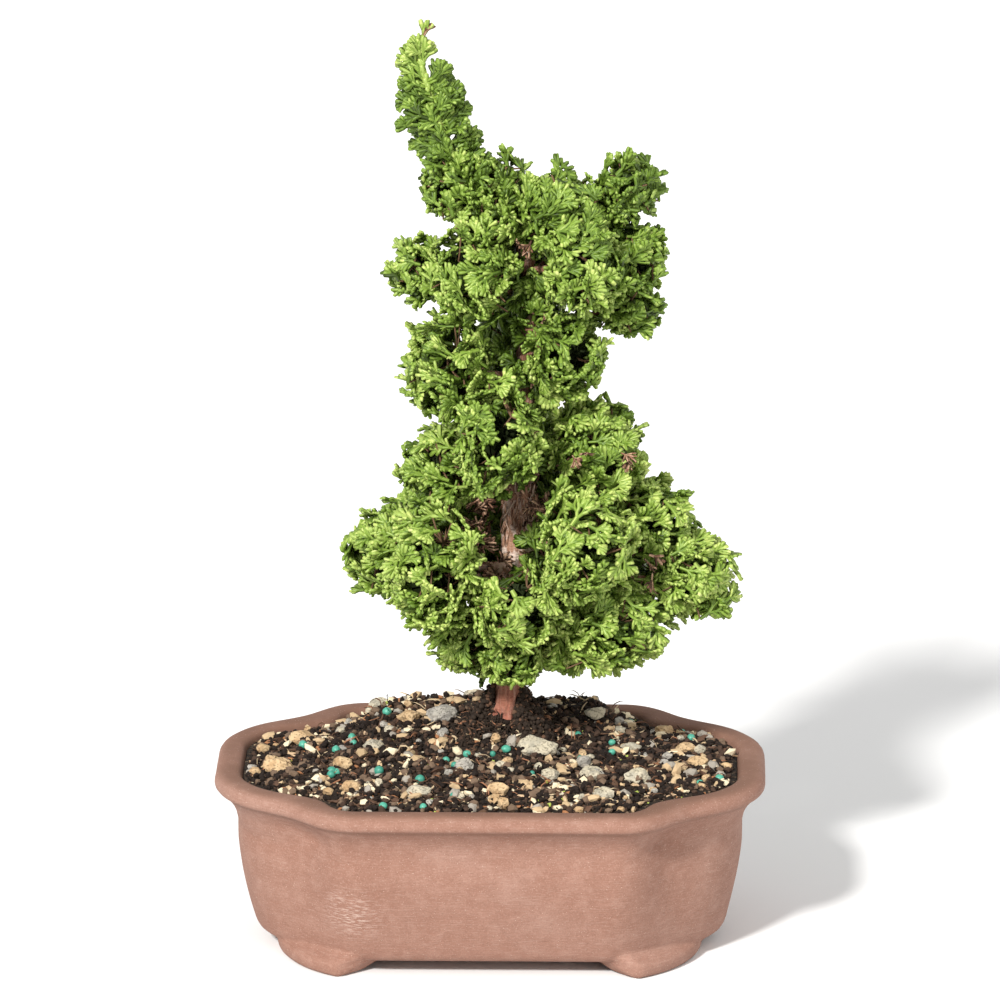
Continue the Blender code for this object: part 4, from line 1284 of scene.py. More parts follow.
class Fan:
    """One flat spray in the form of a shell: it forks again and again from its base to a rounded edge."""

    fork_angles = (24.0, 22.0, 20.0, 17.0, 14.0)
    finger = 3.9
    shortest = 2.3
    widest_turn = 1.35
    opening = (0.74, 1.12)
    curl = (-0.12, 0.32)
    cup = (-0.55, 0.25)

    def __init__(self, length: float, rng: np.random.Generator) -> None:
        """Draws the parts as rows of base, tip, half width and rank, in the plane of the spray.

        Args:
            length: From the base to the rounded edge.
            rng: Source of the fan's own irregularity.
        """
        rows: list[tuple[float, ...]] = []
        opening = rng.uniform(*self.opening)
        front = [(0.0, 0.0, rng.normal(0, 0.06), length, 0)]
        while front:
            x, y, angle, left, order = front.pop(0)
            if left < self.finger + 0.4 or order == len(self.fork_angles):
                reach = max(left * rng.uniform(0.85, 1.12), self.shortest)
                rows.append((x, y, *self.out(x, y, angle, reach), 0.93, Rank.FINGER))
                continue
            step = (0.2 * left + 0.55) * rng.uniform(0.85, 1.2)
            end = self.out(x, y, angle, step)
            rows.append((x, y, *end, 0.84, Rank.JOINT))
            spread = math.radians(self.fork_angles[order]) * opening
            for side in (-1, 1):
                if order > 1 and rng.random() < 0.14:
                    continue
                turned = angle + side * spread * rng.uniform(0.7, 1.2)
                turned = float(np.clip(turned, -self.widest_turn, self.widest_turn))
                front.append((*end, turned, (left - step) * rng.uniform(0.88, 1.06), order + 1))
            if order and rng.random() < 0.7:
                nub = self.out(x, y, angle, step * 0.4)
                reach = self.finger * rng.uniform(0.75, 1.1)
                turned = angle + math.copysign(rng.uniform(0.5, 0.8), angle)
                rows.append((*nub, *self.out(*nub, turned, reach), 0.8, Rank.FINGER))
        self.rows = np.array(rows)
        self.ranks = self.rows[:, 5].astype(int)
        self.length = length

    @staticmethod
    def out(x: float, y: float, angle: float, reach: float) -> tuple[float, float]:
        """The point this far along a line at this angle to the midrib."""
        return x + reach * math.cos(angle), y + reach * math.sin(angle)

    def placed(self, spray: Spray, rng: np.random.Generator) -> list[Array]:
        """Sets the parts in space, with the spray cupped and curled.

        Args:
            spray: Where the spray stands.
            rng: Source of this copy's small differences.

        Returns:
            Bases, tips, normals and half widths.
        """
        count = len(self.rows)
        scale = spray.length / self.length
        across = np.cross(spray.normal, spray.axis)
        curl, cup = rng.uniform(*self.curl), rng.uniform(*self.cup)
        ends = []
        for x, y in (self.rows[:, :2].T, self.rows[:, 2:4].T):
            lift = -curl * x * x / self.length + cup * y * y / self.length
            flat = x[:, None] * spray.axis + y[:, None] * across
            ends.append(spray.root + scale * (flat + lift[:, None] * spray.normal))
        off = rng.normal(0.0, 0.55, count) * (self.ranks == Rank.FINGER) * scale
        ends[1] = ends[1] + spray.normal * off[:, None]
        normals = unit(spray.normal + rng.normal(0, 0.32, (count, 3)))
        return [*ends, normals, self.rows[:, 4] * rng.uniform(0.9, 1.16, count)]


@dataclass
class Crown:
    """Trunk, boughs, twigs and sprays, grown by the rule that the solids follow."""

    trunk_line: tuple = (
        ((6, 8, 81.6), 5.9), ((6.3, 8, 86), 5.1), ((7.3, 8, 98), 4.9), ((8.2, 7.2, 122), 5),
        ((8.9, 6.4, 146), 5), ((10, 6, 168), 4.7), ((11.4, 6.2, 192), 4.1), ((12.6, 6.8, 216), 3.5),
        ((14.2, 7.2, 238), 3), ((13.4, 7, 256), 2.6), ((7, 5.6, 269), 2.2), ((-3.4, 4.6, 279.4), 1.9),
        ((-12, 4.4, 290), 1.6), ((-18, 5, 303), 1.3), ((-22.4, 5.6, 316), 1), ((-24.8, 6, 326.3), 0.8),
    )
    masses: tuple[Mass, ...] = (
        Mass("leader_tip", (-27, 6, 335), (6.3, 5, 12), -8, 327, (), Look.TIP),
        Mass("leader_left", (-27.1, 4, 305.6), (9, 7, 14), 0, 300, (), Look.FLAT),
        Mass("leader_right", (-14.5, 9, 309.9), (8.4, 7.5, 18), 18, 304, (), Look.FLAT),
        Mass("leader_low", (-15.5, 2, 283.3), (10.5, 11, 12), 0, 287),
        Mass("leader_base", (0.9, 13, 281.4), (10.5, 12, 17), 32, 274),
        Mass("leader_neck", (-0.9, -4, 270.5), (11, 11, 8), 0, 267),
        Mass("top_middle", (25.8, 0, 275.8), (16, 15, 14), 0, 264),
        Mass("top_horn", (50, 6, 281.5), (9.6, 11, 15.6), 0, 246, (1.7, 0.9, 4)),
        Mass("upper_right_end", (54.5, 4, 255.5), (10, 15, 11), 0, 238, (1.8, 0.9, 3)),
        Mass("upper_right_low", (50.6, 0, 240.1), (12.8, 14, 9.5), -5, 226, (1.7, 0.9, 2)),
        Mass("upper_right_front", (34.8, -18, 258.8), (14, 16, 18), 0, 250, (1.7, 1, 1)),
        Mass("upper_left_lobe", (-28.3, 4, 251.4), (8.8, 11, 14), 20, 240, (1.6, 0.9, 2)),
        Mass("upper_left", (-7.3, -8, 251.9), (14, 16, 17.5), 0, 250),
        Mass("upper_back", (19.2, 30, 247.9), (17, 16, 16), 0, 246),
        Mass("waist_left", (-15.7, -8, 216.7), (14.5, 18, 22), 8, 210, (1.8, 1.1, 1)),
        Mass("waist_right", (27.9, -8, 223.3), (14.2, 17, 16.5), 0, 216),
        Mass("waist_back", (8.3, 28, 215.1), (17, 16, 20), 0, 212),
        Mass("centre_front", (4, -28, 196.9), (14, 15, 22), 0, 186),
        Mass("left_shoulder", (-18.5, 0, 177.9), (13.5, 18, 18), -22, 168),
        Mass("right_shoulder", (40.2, 2, 185.6), (19.5, 20, 15), -38, 172, (2.4, 1.2, 2)),
        Mass("shoulder_back", (11.9, 34, 174.7), (22, 15, 24), 0, 172),
        Mass("far_left", (-39, 0, 147), (14.8, 17, 15.8), -25, 132, (2.5, 1.2, 3)),
        Mass("left_front", (-21.1, -26, 147.5), (16, 18, 25), 0, 138, (2.2, 1.2, 1)),
        Mass("right_outer", (61.1, 8, 156.8), (13.5, 18, 17.5), 38, 146, (2.4, 1.1, 3)),
        Mass("far_right", (76.2, 0, 137.1), (15.8, 14, 14.5), 12, 128, (2.6, 1, 5)),
        Mass("right_front", (35.9, -30, 157.6), (17, 17, 21), 0, 146, (2.2, 1.2, 1)),
        Mass("low_right", (46.3, -8, 120.2), (27.5, 20, 14.5), 22, 112, (2.4, 1.2, 2)),
        Mass("low_front", (10.5, -28, 134.2), (18, 14, 14.5), 0, 124),
        Mass("low_left", (-10, -8, 113), (14.5, 14, 10), -35, 104),
        Mass("low_middle", (8, -12, 107.4), (10.5, 10, 10), 0, 98),
        Mass("back_left", (-16.5, 34, 140), (24, 17, 25), 0, 132, (2.2, 1.2, 1)),
        Mass("back_right", (41.1, 34, 139.2), (27, 18, 23), 0, 130, (2.2, 1.2, 1)),
        Mass("low_back", (17.6, 28, 108.2), (24, 16, 14), 0, 104),
    )
    lowest_leaf: float = 83.0
    packing: float = 0.555
    inner_share: float = 0.28
    fan_sizes: tuple[float, ...] = (6.5, 8.0, 9.5, 11.0, 12.5, 14.5)
    variants: int = 8
    over_wall: tuple[float, float] = (1.0, 7.0)
    trunk_mesh: tuple[float, int] = (0.9, 44)
    bough_mesh: tuple[float, int] = (1.2, 14)
    stem_clearance: float = 3.2
    tip_base: float = 326.0
    tip_fans: tuple = (
        (319, -0.9, 0.6, 10), (321, -0.8, 0.8, 11), (323, -0.5, 1, 12), (325, -0.75, 0.8, 12.5),
        (326, -0.2, 1, 12), (328, 0.5, 0.85, 9), (329, -0.45, 1, 10.5), (336, 0.25, 1, 8.5),
        (331, -0.7, 0.8, 8), (330, 0.1, 1, 9),
    )
    leader_heights: tuple[float, float, float] = (286.0, 322.0, 2.4)
    leader_steps: tuple[float, ...] = (286.0, 296.0, 310.0, 316.0, 322.0)
    leader_left: tuple[float, ...] = (14.0, 16.0, 15.5, 12.5, 9.0)
    leader_right: tuple[float, ...] = (13.0, 14.0, 14.5, 15.0, 12.5)
    rise_left: tuple[float, float] = (5.0, 42.0)
    rise_right: tuple[float, float] = (20.0, 58.0)
    leader_layers: tuple = ((0.02, 0.62), (0.3, 0.86), (0.48, 1.02))
    stem_heights: tuple[float, float, float] = (276.0, 329.0, 1.6)
    dead_width: float = 0.58
    strips: int = 300
    strip_heights: tuple = ((153.0, 180.0), (124.0, 141.0))
    view_slope: float = 0.31
    bare_levels: tuple[float, ...] = (134.0, 146.0, 156.0, 164.0)
    bare_middles: tuple[float, ...] = (3.0, 5.5, 3.0, 2.0)
    bare_half_widths: tuple[float, ...] = (7.0, 8.0, 10.0, 10.5)
    foot_middle: float = 6.5
    foot_half_width: float = 6.0
    foot_level: float = 95.5
    dead_spots: tuple = (
        (-3, -6, 166, 7), (16, -8, 167, 7), (22, -10, 164, 6), (-9, -8, 133, 9), (-16, -12, 138, 5),
        (-4, -4, 150, 5), (33, -20, 191, 2), (47, -14, 189, 2), (58, -14, 147, 3), (14, -6, 262, 2),
        (16, -4, 214, 4), (-1, -9, 143, 5), (-8, 6, 146, 6), (20, 12, 150, 6), (20, 14, 140, 5),
        (18, 14, 162, 4), (-6, 8, 158, 5), (15.5, 11, 147, 7), (15, 10, 139, 5), (14.5, 9, 156, 5),
        (-1, -7, 133.5, 6), (7, -5, 170, 4), (0, 10, 158, 4), (10, 30, 160, 3), (-14, 26, 176, 3),
        (36, 24, 172, 3), (14, 24, 232, 3), (3, -9, 140, 4), (-8, -5, 160, 6), (-7, -4, 152, 5),
        (-10, -6, 145, 4), (16, -6, 234, 3),
    )
    green_spots: tuple = (
        (44, 4, 270, 6), (46, 12, 264, 4), (17, -7, 151, 4), (17, -8, 143, 4), (15, 20, 148, 5),
        (14, 20, 158, 4), (-8, 18, 150, 4), (1, 14, 262, 4), (25, 10, 167, 4), (24, 24, 163, 4),
        (-6, 12, 120, 4), (2, 16, 129, 5), (30, 4, 238, 4), (30, 16, 233, 3), (4, 10, 234, 4),
        (3, -6, 174, 3), (13, -6, 173, 3), (30, -4, 234, 3), (43, 0, 268, 4), (41, 8, 268, 4),
        (18, -12, 146, 2), (2, 16, 151, 4), (20, 30, 228, 4), (-5, 28, 238, 4), (16.5, -11, 158, 1),
        (-4, -15, 139, 3), (14, -3, 249, 4), (-6, -13, 157, 1), (-9, 4, 156, 3), (-11, 10, 150, 3),
        (-4, 8, 168, 4), (-20, 8, 165, 2), (0, 14, 252, 4), (-8, 12, 262, 4), (-3, 9, 257, 3),
        (30, 10, 276, 4), (-12, 12, 258, 3), (6, 18, 128, 4),
    )
    shade_outline: tuple = (
        (0.0, 0.05), (0.45, 0.32), (0.4, 0.16), (0.8, 0.34), (0.68, 0.12), (1.0, 0.06), (1.0, -0.06),
        (0.68, -0.12), (0.82, -0.32), (0.4, -0.16), (0.45, -0.34), (0.0, -0.05),
    )
    shade_faces: tuple = ((0, 1, 10, 11), (1, 2, 9, 10), (2, 3, 4, 9), (4, 7, 8, 9), (4, 5, 6, 7))
    wood_finishes: tuple = (
        PlainFinish("twig_bark", (0.15, 0.085, 0.045), 0.8, 0.3),
        PlainFinish("strip_brown", (0.21, 0.105, 0.062), 0.8, 0.3),
        PlainFinish("strip_warm", (0.45, 0.26, 0.17), 0.8, 0.3),
        PlainFinish("strip_pale", (0.6, 0.43, 0.33), 0.8, 0.3),
    )
    rng: np.random.Generator = field(default_factory=lambda: np.random.default_rng(41))
    leaves: Batch = field(default_factory=Batch)
    twigs: Batch = field(default_factory=Batch)

    def __post_init__(self) -> None:
        """Works out the limbs and the rooms, and draws the fans."""
        self.trunk = Limb(*zip(*self.trunk_line))
        self.rooms = [Room(mass) for mass in self.masses]
        for room in self.rooms:
            for other in self.rooms:
                if other is not room:
                    room.part_from(other, self.trunk)
            room.add_plane(-UP, -self.lowest_leaf)
        self.boughs = {room.mass.name: self.bough(room) for room in self.rooms if room.mass.bough}
        self.limbs = [self.trunk, *self.boughs.values()]
        self.fans = {
            size: [Fan(size, self.rng) for _ in range(self.variants)] for size in self.fan_sizes
        }

    def bough(self, room: Room) -> Limb:
        """Runs a tapering limb from just off the trunk to where it enters its mass.

        Args:
            room: The mass's room.

        Returns:
            The bough.
        """
        thick, thin, rise = room.mass.bough
        start, radius = self.trunk.at_height(room.mass.leaves_trunk)
        heading = unit(room.middle - start + 2 * rise * UP)
        start = start + heading * radius * 0.5
        inward = room.entry(start)
        centre = (start + inward) / 2 + rise * UP
        share = np.linspace(0, 1, 14)[:, None]
        route = (1 - share) ** 2 * start + 2 * share * (1 - share) * centre + share**2 * inward
        return Limb(route, thick + (thin - thick) * share[:, 0])

    def clearance(self, points: Array) -> Array:
        """Distance from each point to the nearest limb's surface."""
        return np.min([limb.nearest(points)[0] for limb in self.limbs], axis=0)

    def set_centre(self, room: Room) -> None:
        """Ends a mass's own stem at its middle, moved off any limb that passes through it.

        Args:
            room: The mass's room.
        """
        for _ in range(30):
            for limb in self.limbs:
                away, line = limb.nearest(room.centre[None])
                if away[0] < self.stem_clearance:
                    room.centre = room.centre + unit(line[0]) * (self.stem_clearance - away[0])

    @staticmethod
    def eased(places: Array, steps: Array, values: Array) -> Array:
        """Rounds values off where a limb's straight parts meet.

        Args:
            places: Distances along the limb.
            steps: Distances of its points.
            values: One coordinate of its points.

        Returns:
            The coordinate at each place.
        """
        width = 5.0
        shifts = (-width, -width / 2, 0, width / 2, width)
        total = sum(np.interp(places + shift, steps, values) for shift in shifts)
        ends = np.minimum(places - steps[0], steps[-1] - places)
        return np.where(ends < width, np.interp(places, steps, values), total / len(shifts))

    def add_limb(self, batch: Batch, index: int) -> None:
        """Adds one limb with the relief of fibrous bark.

        Args:
            batch: What it is added to.
            index: Which limb, with 0 for the trunk, which flares at its foot.
        """
        limb = self.limbs[index]
        step, sides = self.bough_mesh if index else self.trunk_mesh
        steps = np.r_[0, np.cumsum(np.linalg.norm(np.diff(limb.points, axis=0), axis=1))]
        rows = int(steps[-1] / step) + 2
        places = np.linspace(0, steps[-1], rows)
        line = np.stack([self.eased(places, steps, limb.points[:, axis]) for axis in range(3)], 1)
        radii = np.interp(places, steps, limb.radii)
        ahead = np.gradient(line, axis=0)
        if index == 0:
            ahead[0] = UP
        across, over = side_axes(ahead)
        turn = 2 * math.pi * np.arange(sides) / sides
        ring = around(turn)
        surface = np.concatenate([
            np.broadcast_to(ring[None] * radii[:, None, None] / 1.1, (rows, sides, 2)),
            np.broadcast_to(places[:, None, None] / 11.0, (rows, sides, 1)),
        ], axis=2)
        strips = layered_noise(surface + index * 7.7, 31, 3)
        ridges = np.abs(layered_noise(surface * np.array([0.6, 0.6, 0.5]) + index, 37, 2))
        depth = np.minimum(0.16 * radii, 0.75)[:, None]
        wide = radii[:, None] + depth * (strips * 1.1 - ridges * 0.9 + 0.15)
        if index == 0:
            flare = np.exp(-((line[:, 2] - line[0, 2]) / 6.0))[:, None]
            wide = wide + flare * (1.4 * np.cos(turn * 5 + 0.7) + 0.6 * np.cos(turn * 3))[None]
        outward = across[:, None] * ring[None, :, :1] + over[:, None] * ring[None, :, 1:]
        points = line[:, None] + outward * wide[..., None]
        tip = line[-1:] + unit(ahead[-1:]) * radii[-1] * 0.6
        caps = fan_faces((rows - 1) * sides, sides, rows * sides)
        batch.add(np.concatenate([points.reshape(-1, 3), tip]), (grid_faces(rows, sides), 0), (caps, 0))

    def build_bark(self) -> None:
        """Makes the trunk and the boughs."""
        batch = Batch()
        for index in range(len(self.limbs)):
            self.add_limb(batch, index)
        names = ["trunk"] + ["bough_" + name for name in self.boughs]
        give(batch.build("barked_limbs", [BarkFinish().make()]), names)

    def peel_bark(self) -> None:
        """Adds thin strips of bark that stand off the trunk where it shows."""
        rng = self.rng
        count = self.strips
        upper = rng.random(count) < 0.65
        heights = np.where(upper, *(rng.uniform(*limits, count) for limits in self.strip_heights))
        turn = rng.uniform(0, 2 * math.pi, count)
        out = np.column_stack([around(turn), np.zeros(count)])
        middles, radii = self.trunk.at_height(heights)
        roots = middles + out * (radii - 0.1)[:, None]
        up = rng.choice([-1.0, 1.0], count)[:, None] * np.array([0.1, 0.0, 1.0])
        length = rng.uniform(3.0, 10.0, count)[:, None]
        off = rng.uniform(0.3, 2.6, count)[:, None] * length / 8.0
        heading = unit(up + np.cross(UP, out) * rng.normal(0, 0.28, (count, 1)))
        tips = roots + heading * length + out * off
        points = TWIG.points(roots, tips, out, rng.uniform(0.18, 0.5, count), rng.normal(0.3, 0.4, count))
        slots = rng.integers(1, len(self.wood_finishes), (count, 1))
        TWIG.lay(self.twigs, points, slots, slots)

    def stem_heading(self, room: Room) -> Array:
        """The way a mass grows: out from the trunk, and up or down with its height in the crown."""
        out = room.middle - self.trunk.at_height(room.mass.leaves_trunk)[0]
        lift = np.interp(room.middle[2], (105.0, 150.0, 215.0, 260.0), (-0.25, 0.1, 0.15, 0.8))
        return unit(unit(out * np.array([1.0, 1.0, 0.4])) + UP * lift)

    def grow(self, room: Room) -> Iterator[Spray]:
        """Grows one mass: a close outer layer that lies over its surface, and a thinner one inside.

        Args:
            room: The mass's room.
        """
        rng = self.rng
        size = float(np.clip(room.size * 0.78, 7.5, 13.0))
        count = int(4 * math.pi * room.size**2 / (size * self.packing) ** 2)
        preferred = self.stem_heading(room)
        for layer, share in ((0, 1.0), (1, self.inner_share)):
            number = int(count * share)
            headings = unit(even_headings(number) + rng.normal(0, 0.12, (number, 3)))
            shell, wall = room.shell_and_wall(room.centre, headings)
            open_way = wall > shell * 0.46
            headings, shell, wall = headings[open_way], shell[open_way], wall[open_way]
            swell = layered_noise((room.centre + headings * shell[:, None]) / 9.0, 61, 2)
            reach = 0.91 + 0.2 * swell + rng.uniform(-0.08, 0.08, len(headings)) - 0.24 * layer
            over = rng.uniform(*self.over_wall, len(headings))
            ends = np.minimum(shell * np.minimum(reach, 1.03), wall + over)
            tips = room.centre + headings * ends[:, None]
            drift = np.stack([value_noise(tips / 15.0 + shift, 71 + shift) for shift in (0, 5, 9)], axis=1)
            sideways = preferred + 0.9 * drift + rng.normal(0, 0.38, headings.shape)
            radial = headings * rng.uniform(0.3, 1.15, (len(headings), 1))
            axes = unit(radial + square_to(headings, sideways))
            normals = square_to(axes, headings + rng.normal(0, 0.8, headings.shape))
            lengths = np.clip(size * rng.uniform(0.7, 1.18, len(headings)), 6.0, 15.0)
            roots = tips - axes * lengths[:, None]
            clear = np.minimum(self.clearance(tips), self.clearance((roots + tips) / 2)) > 0.8
            clear &= (room.room_left(roots) > -5.0) & (tips[:, 2] > 84.5) & (roots[:, 2] > 82.0)
            # Painted shade: the inner layer, and sprays that end short of the shell, take darker tones.
            depths = 1.3 * layer + 5.0 * np.maximum(0.0, 0.88 - ends / shell)
            for index in np.flatnonzero(clear):
                tone = self.tone(tips[index], float(depths[index]))
                yield Spray(roots[index], axes[index], normals[index], float(lengths[index]), tone)

    def grow_tip(self) -> Iterator[Spray]:
        """Grows the pale sprays of the leader's tip, one above the other, and a browned one at its end."""
        for height, across, up, length in self.tip_fans:
            stem, radius = self.trunk.at_height(min(height, self.tip_base))
            root = stem + np.array([0.0, -radius * 0.5, max(height - self.tip_base, 0.0)])
            axis = unit(np.array([across, self.rng.normal(0, 0.15), up]))
            normal = square_to(axis, np.array([0.0, -1.0, 0.1]) + self.rng.normal(0, 0.22, 3))
            yield Spray(root, axis, normal, length, 4.8 + self.rng.normal(0, 0.3))
        root = stem + np.array([0.6, -1.0, 12.5])
        yield Spray(root, unit(np.array([0.5, 0.0, 1.0])), np.array([0.0, -1.0, 0.0]), 5.6, 0.0, dead=True)

    def grow_leader(self, side: int) -> Iterator[Spray]:
        """Grows fans that stand in one plane, out and up from the leader's stem to one side.

        Args:
            side: Which side, with -1 for the left.
        """
        rng = self.rng
        reach, rises = (
            (self.leader_left, self.rise_left) if side < 0 else (self.leader_right, self.rise_right)
        )
        for height in np.arange(*self.leader_heights):
            stem = self.trunk.at_height(height)[0]
            full = float(np.interp(height, self.leader_steps, reach))
            for root_share, tip_share in self.leader_layers:
                rise = math.radians(rng.uniform(*rises))
                axis = unit(np.array([side * math.cos(rise), rng.normal(0, 0.22), math.sin(rise)]))
                length = max(full * (tip_share - root_share) * 1.15, 6.5)
                tip = stem + axis * full * tip_share * rng.uniform(0.9, 1.05)
                tip[1] += rng.normal(0, 1.6)
                normal = square_to(axis, np.array([0.0, -1.0, 0.15]) + rng.normal(0, 0.3, 3))
                yield Spray(tip - axis * length, axis, normal, length, 3.1 + rng.normal(0, 0.45))

    def grow_on_trunk(self) -> Iterator[Spray]:
        """Grows short sprays straight off the trunk, which close the crown round it."""
        rng = self.rng
        turn = 0.0
        for height in np.r_[np.arange(96.0, 172.0, 1.4), np.arange(172.0, 296.0, 0.55)]:
            turn += GOLDEN_TURN
            stem, radius = self.trunk.at_height(height)
            out = np.array([math.cos(turn), math.sin(turn), 0.0])
            across = np.cross(UP, out) * rng.normal(0, 0.7)
            up = UP * (1.0 if rng.random() < 0.65 else -1.0)
            axis = unit(out * rng.uniform(0.05, 0.55) + up * rng.uniform(0.2, 1.0) + across)
            length = rng.uniform(7.0, 11.5)
            normal = square_to(axis, out + rng.normal(0, 0.35, 3))
            root = stem + out * (radius + rng.uniform(0.4, 5.0 if height < 260.0 else 2.0))
            yield Spray(root, axis, normal, length, rng.uniform(1.9, 4.6))

    def grow_dead(self) -> Iterator[Spray]:
        """Grows dead brown sprays in the gaps of the crown."""
        rng = self.rng
        for *spot, count in self.dead_spots:
            for _ in range(count):
                root = np.array(spot) + rng.normal(0, 2.2, 3)
                axis = unit(rng.normal(0, 1, 3) + np.array([0.0, -0.5, 0.1]))
                normal = unit(np.cross(axis, rng.normal(0, 1, 3)))
                yield Spray(root, axis, normal, rng.uniform(5.0, 8.5), 0.0, dead=True)

    def grow_in_gaps(self) -> Iterator[Spray]:
        """Grows deep green sprays where two masses would leave a hole between them."""
        rng = self.rng
        for *spot, count in self.green_spots:
            for _ in range(count):
                root = np.array(spot) + rng.normal(0, 2.0, 3)
                axis = unit(rng.normal(0, 0.7, 3) + UP * 0.5 * rng.choice([-1.0, 1.0]))
                normal = square_to(axis, np.array([0.0, -1.0, 0.3]) + rng.normal(0, 0.4, 3))
                length = rng.uniform(7.0, 10.0)
                yield Spray(root, axis, normal, length, rng.uniform(2.2, 4.0))

    def sprays_of(self, room: Room) -> Iterator[Spray]:
        """Grows all sprays of one mass, by its look.

        Args:
            room: The mass's room.
        """
        if room.mass.look is Look.FULL:
            yield from self.grow(room)
        elif room.mass.look is Look.FLAT:
            yield from self.grow_leader(1 if room.mass.name == "leader_right" else -1)
        else:
            yield from self.grow_tip()

    def seen_level(self, points: Array) -> Array:
        """The height at which points are seen against the trunk, from the front and a little above."""
        return points[:, 2] + self.view_slope * points[:, 1]

    def in_view_gap(self, points: Array) -> Array:
        """Tells whether points hide the stretch of bare bark that shows at the front.

        Args:
            points: Three numbers to a row.

        Returns:
            A yes or no for each.
        """
        level = self.seen_level(points)
        middle = np.interp(level, self.bare_levels, self.bare_middles)
        beside = np.abs(points[:, 0] - middle) < np.interp(level, self.bare_levels, self.bare_half_widths)
        within = (level > self.bare_levels[0]) & (level < self.bare_levels[-1])
        return beside & (points[:, 1] < 6.0) & within

    def before_foot(self, points: Array) -> Array:
        """Whether points hide the top of the trunk's foot at the front."""
        beside = np.abs(points[:, 0] - self.foot_middle) < self.foot_half_width
        return beside & (points[:, 1] < 8.0) & (self.seen_level(points) < self.foot_level)

    def hides_bark(self, spray: Spray) -> bool:
        """Whether a spray would cover the bare stretch of trunk."""
        shares = np.array([[0.0], [0.5], [1.0]])
        return bool(self.in_view_gap(spray.root + spray.axis * spray.length * shares).any())

    def tone(self, place: Array, deep: float) -> float:
        """Chooses the tone of one spray, with slow random changes over the crown, painted light on the lower
        crown and painted shade on the upper right end and deep in a mass.

        Args:
            place: Its tip.
            deep: How much darker it is for lying deep in the mass, as painted shade.

        Returns:
            The tone, between those of the leaves.
        """
        slow = float(value_noise(place[None] / 19.0, 77)[0])
        # Painted light: the lower crown is up to a tone paler.
        sunlit = 4.3 + float(np.interp(place[2], (140.0, 235.0), (0.6, 0.0)))
        # Painted shade: the upper right end of the crown is darker.
        sunlit -= float(smooth(place[0], 32.0, 58.0) * smooth(place[2], 220.0, 250.0)) * 0.8
        return float(np.clip(sunlit + 0.7 * slow + self.rng.normal(0, 0.5) - deep, Leaf.DEEP, Leaf.BRIGHT))

    @staticmethod
    def greens(tones: Array) -> Array:
        """The living leaves nearest to these tones."""
        return np.clip(np.round(tones), Leaf.DEEP, Leaf.PALE).astype(int)

    def add_spray(self, spray: Spray) -> None:
        """Adds one spray's fingers, darker at their roots and paler at their tips, partly as painted shade
        and painted highlights, with each face's tone scattered to stand for the scale leaves and for painted
        glints.

        Args:
            spray: Where the spray stands.
        """
        rng = self.rng
        size = min(self.fan_sizes, key=lambda each: abs(each - spray.length))
        fan = self.fans[size][int(rng.integers(self.variants))]
        lines = fan.placed(spray, rng)
        for form, rank, lift in ((JOINT, Rank.JOINT, -0.5), (FINGER, Rank.FINGER, 0.0)):
            bases, tips, normals, widths = (line[fan.ranks == rank] for line in lines)
            count = len(bases)
            if not count:
                continue
            rows = len(form.stations) - 1
            walls = (count, rows * form.sides)
            bends = rng.normal(0, 0.18, count)
            if spray.dead:
                bends = rng.normal(0, 0.3, count)
                points = form.points(bases, tips, normals, widths * self.dead_width, bends)
                slots = rng.integers(Leaf.DEAD, Leaf.STRAW + 1, walls)
                form.lay(self.leaves, points, slots, slots[:, : form.sides])
                continue
            # Darker toward a finger's root and paler toward its tip: partly the fan's own colour, partly
            # painted shade inside the fan.
            steps = np.repeat(np.linspace(-0.25, 0.25, rows), form.sides) + lift
            own = spray.tone + rng.normal(0, 0.35, (count, 1))
            # Each face's tone is scattered: partly the scale leaves' own mottling, partly painted glints.
            slots = self.greens(own + steps + rng.normal(0, 0.58, walls))
            # A quarter of the tips are painted a tone paler as painted highlights.
            tip_slots = self.greens(own + (rng.random((count, 1)) < 0.25) * 0.8 + 0.05 + lift)
            clear = ~self.before_foot(tips)
            points = form.points(bases, tips, normals, widths, bends)[clear]
            form.lay(self.leaves, points, slots[clear], tip_slots[clear] if form is FINGER else None)

    def shade_leaves(self, room: Room) -> None:
        """Adds dark, flat sprays in the inside of a mass as painted shade, where little light comes.

        Args:
            room: The mass's room.
        """
        rng = self.rng
        count = int(4 * math.pi * room.size**2 / 22.0)
        headings = unit(even_headings(count) + rng.normal(0, 0.2, (count, 3)))
        shell, wall = room.shell_and_wall(room.centre, headings)
        ends = np.minimum(shell * rng.uniform(0.15, 0.5, count), wall)
        tips = room.centre + headings * ends[:, None]
        axes = unit(headings + rng.normal(0, 0.5, headings.shape))
        lengths = room.size * rng.uniform(0.22, 0.4, count)
        roots = tips - axes * lengths[:, None]
        middles = (roots + tips) / 2
        away = np.min([self.clearance(places) for places in (roots, middles, tips)], axis=0)
        clear = ~self.in_view_gap(middles) & (away > 1.0)
        clear &= (room.room_left(roots) > 0) & (tips[:, 2] > 86.0)
        across = unit(np.cross(axes, rng.normal(0, 1, headings.shape)))
        along, side = np.array(self.shade_outline).T[:, None, :, None]
        shapes = axes[:, None] * along + across[:, None] * side
        points = roots[:, None] + lengths[:, None, None] * shapes
        self.leaves.add(points[clear], (np.array(self.shade_faces), int(Leaf.SHADE)))

    def add_twigs(self, starts: Array, ends: Array, thick: float) -> None:
        """Adds straight or slightly bent twigs of one thickness.

        Args:
            starts: Where each begins.
            ends: Where each ends.
            thick: Their radius.
        """
        count = len(starts)
        normals = unit(self.rng.normal(0, 1, (count, 3)))
        bends = np.linalg.norm(ends - starts, axis=1) * self.rng.normal(0, 0.07, count)
        points = TWIG.points(starts, ends, normals, np.full(count, thick), bends)
        TWIG.lay(self.twigs, points[~self.before_foot(ends)], 0, 0)

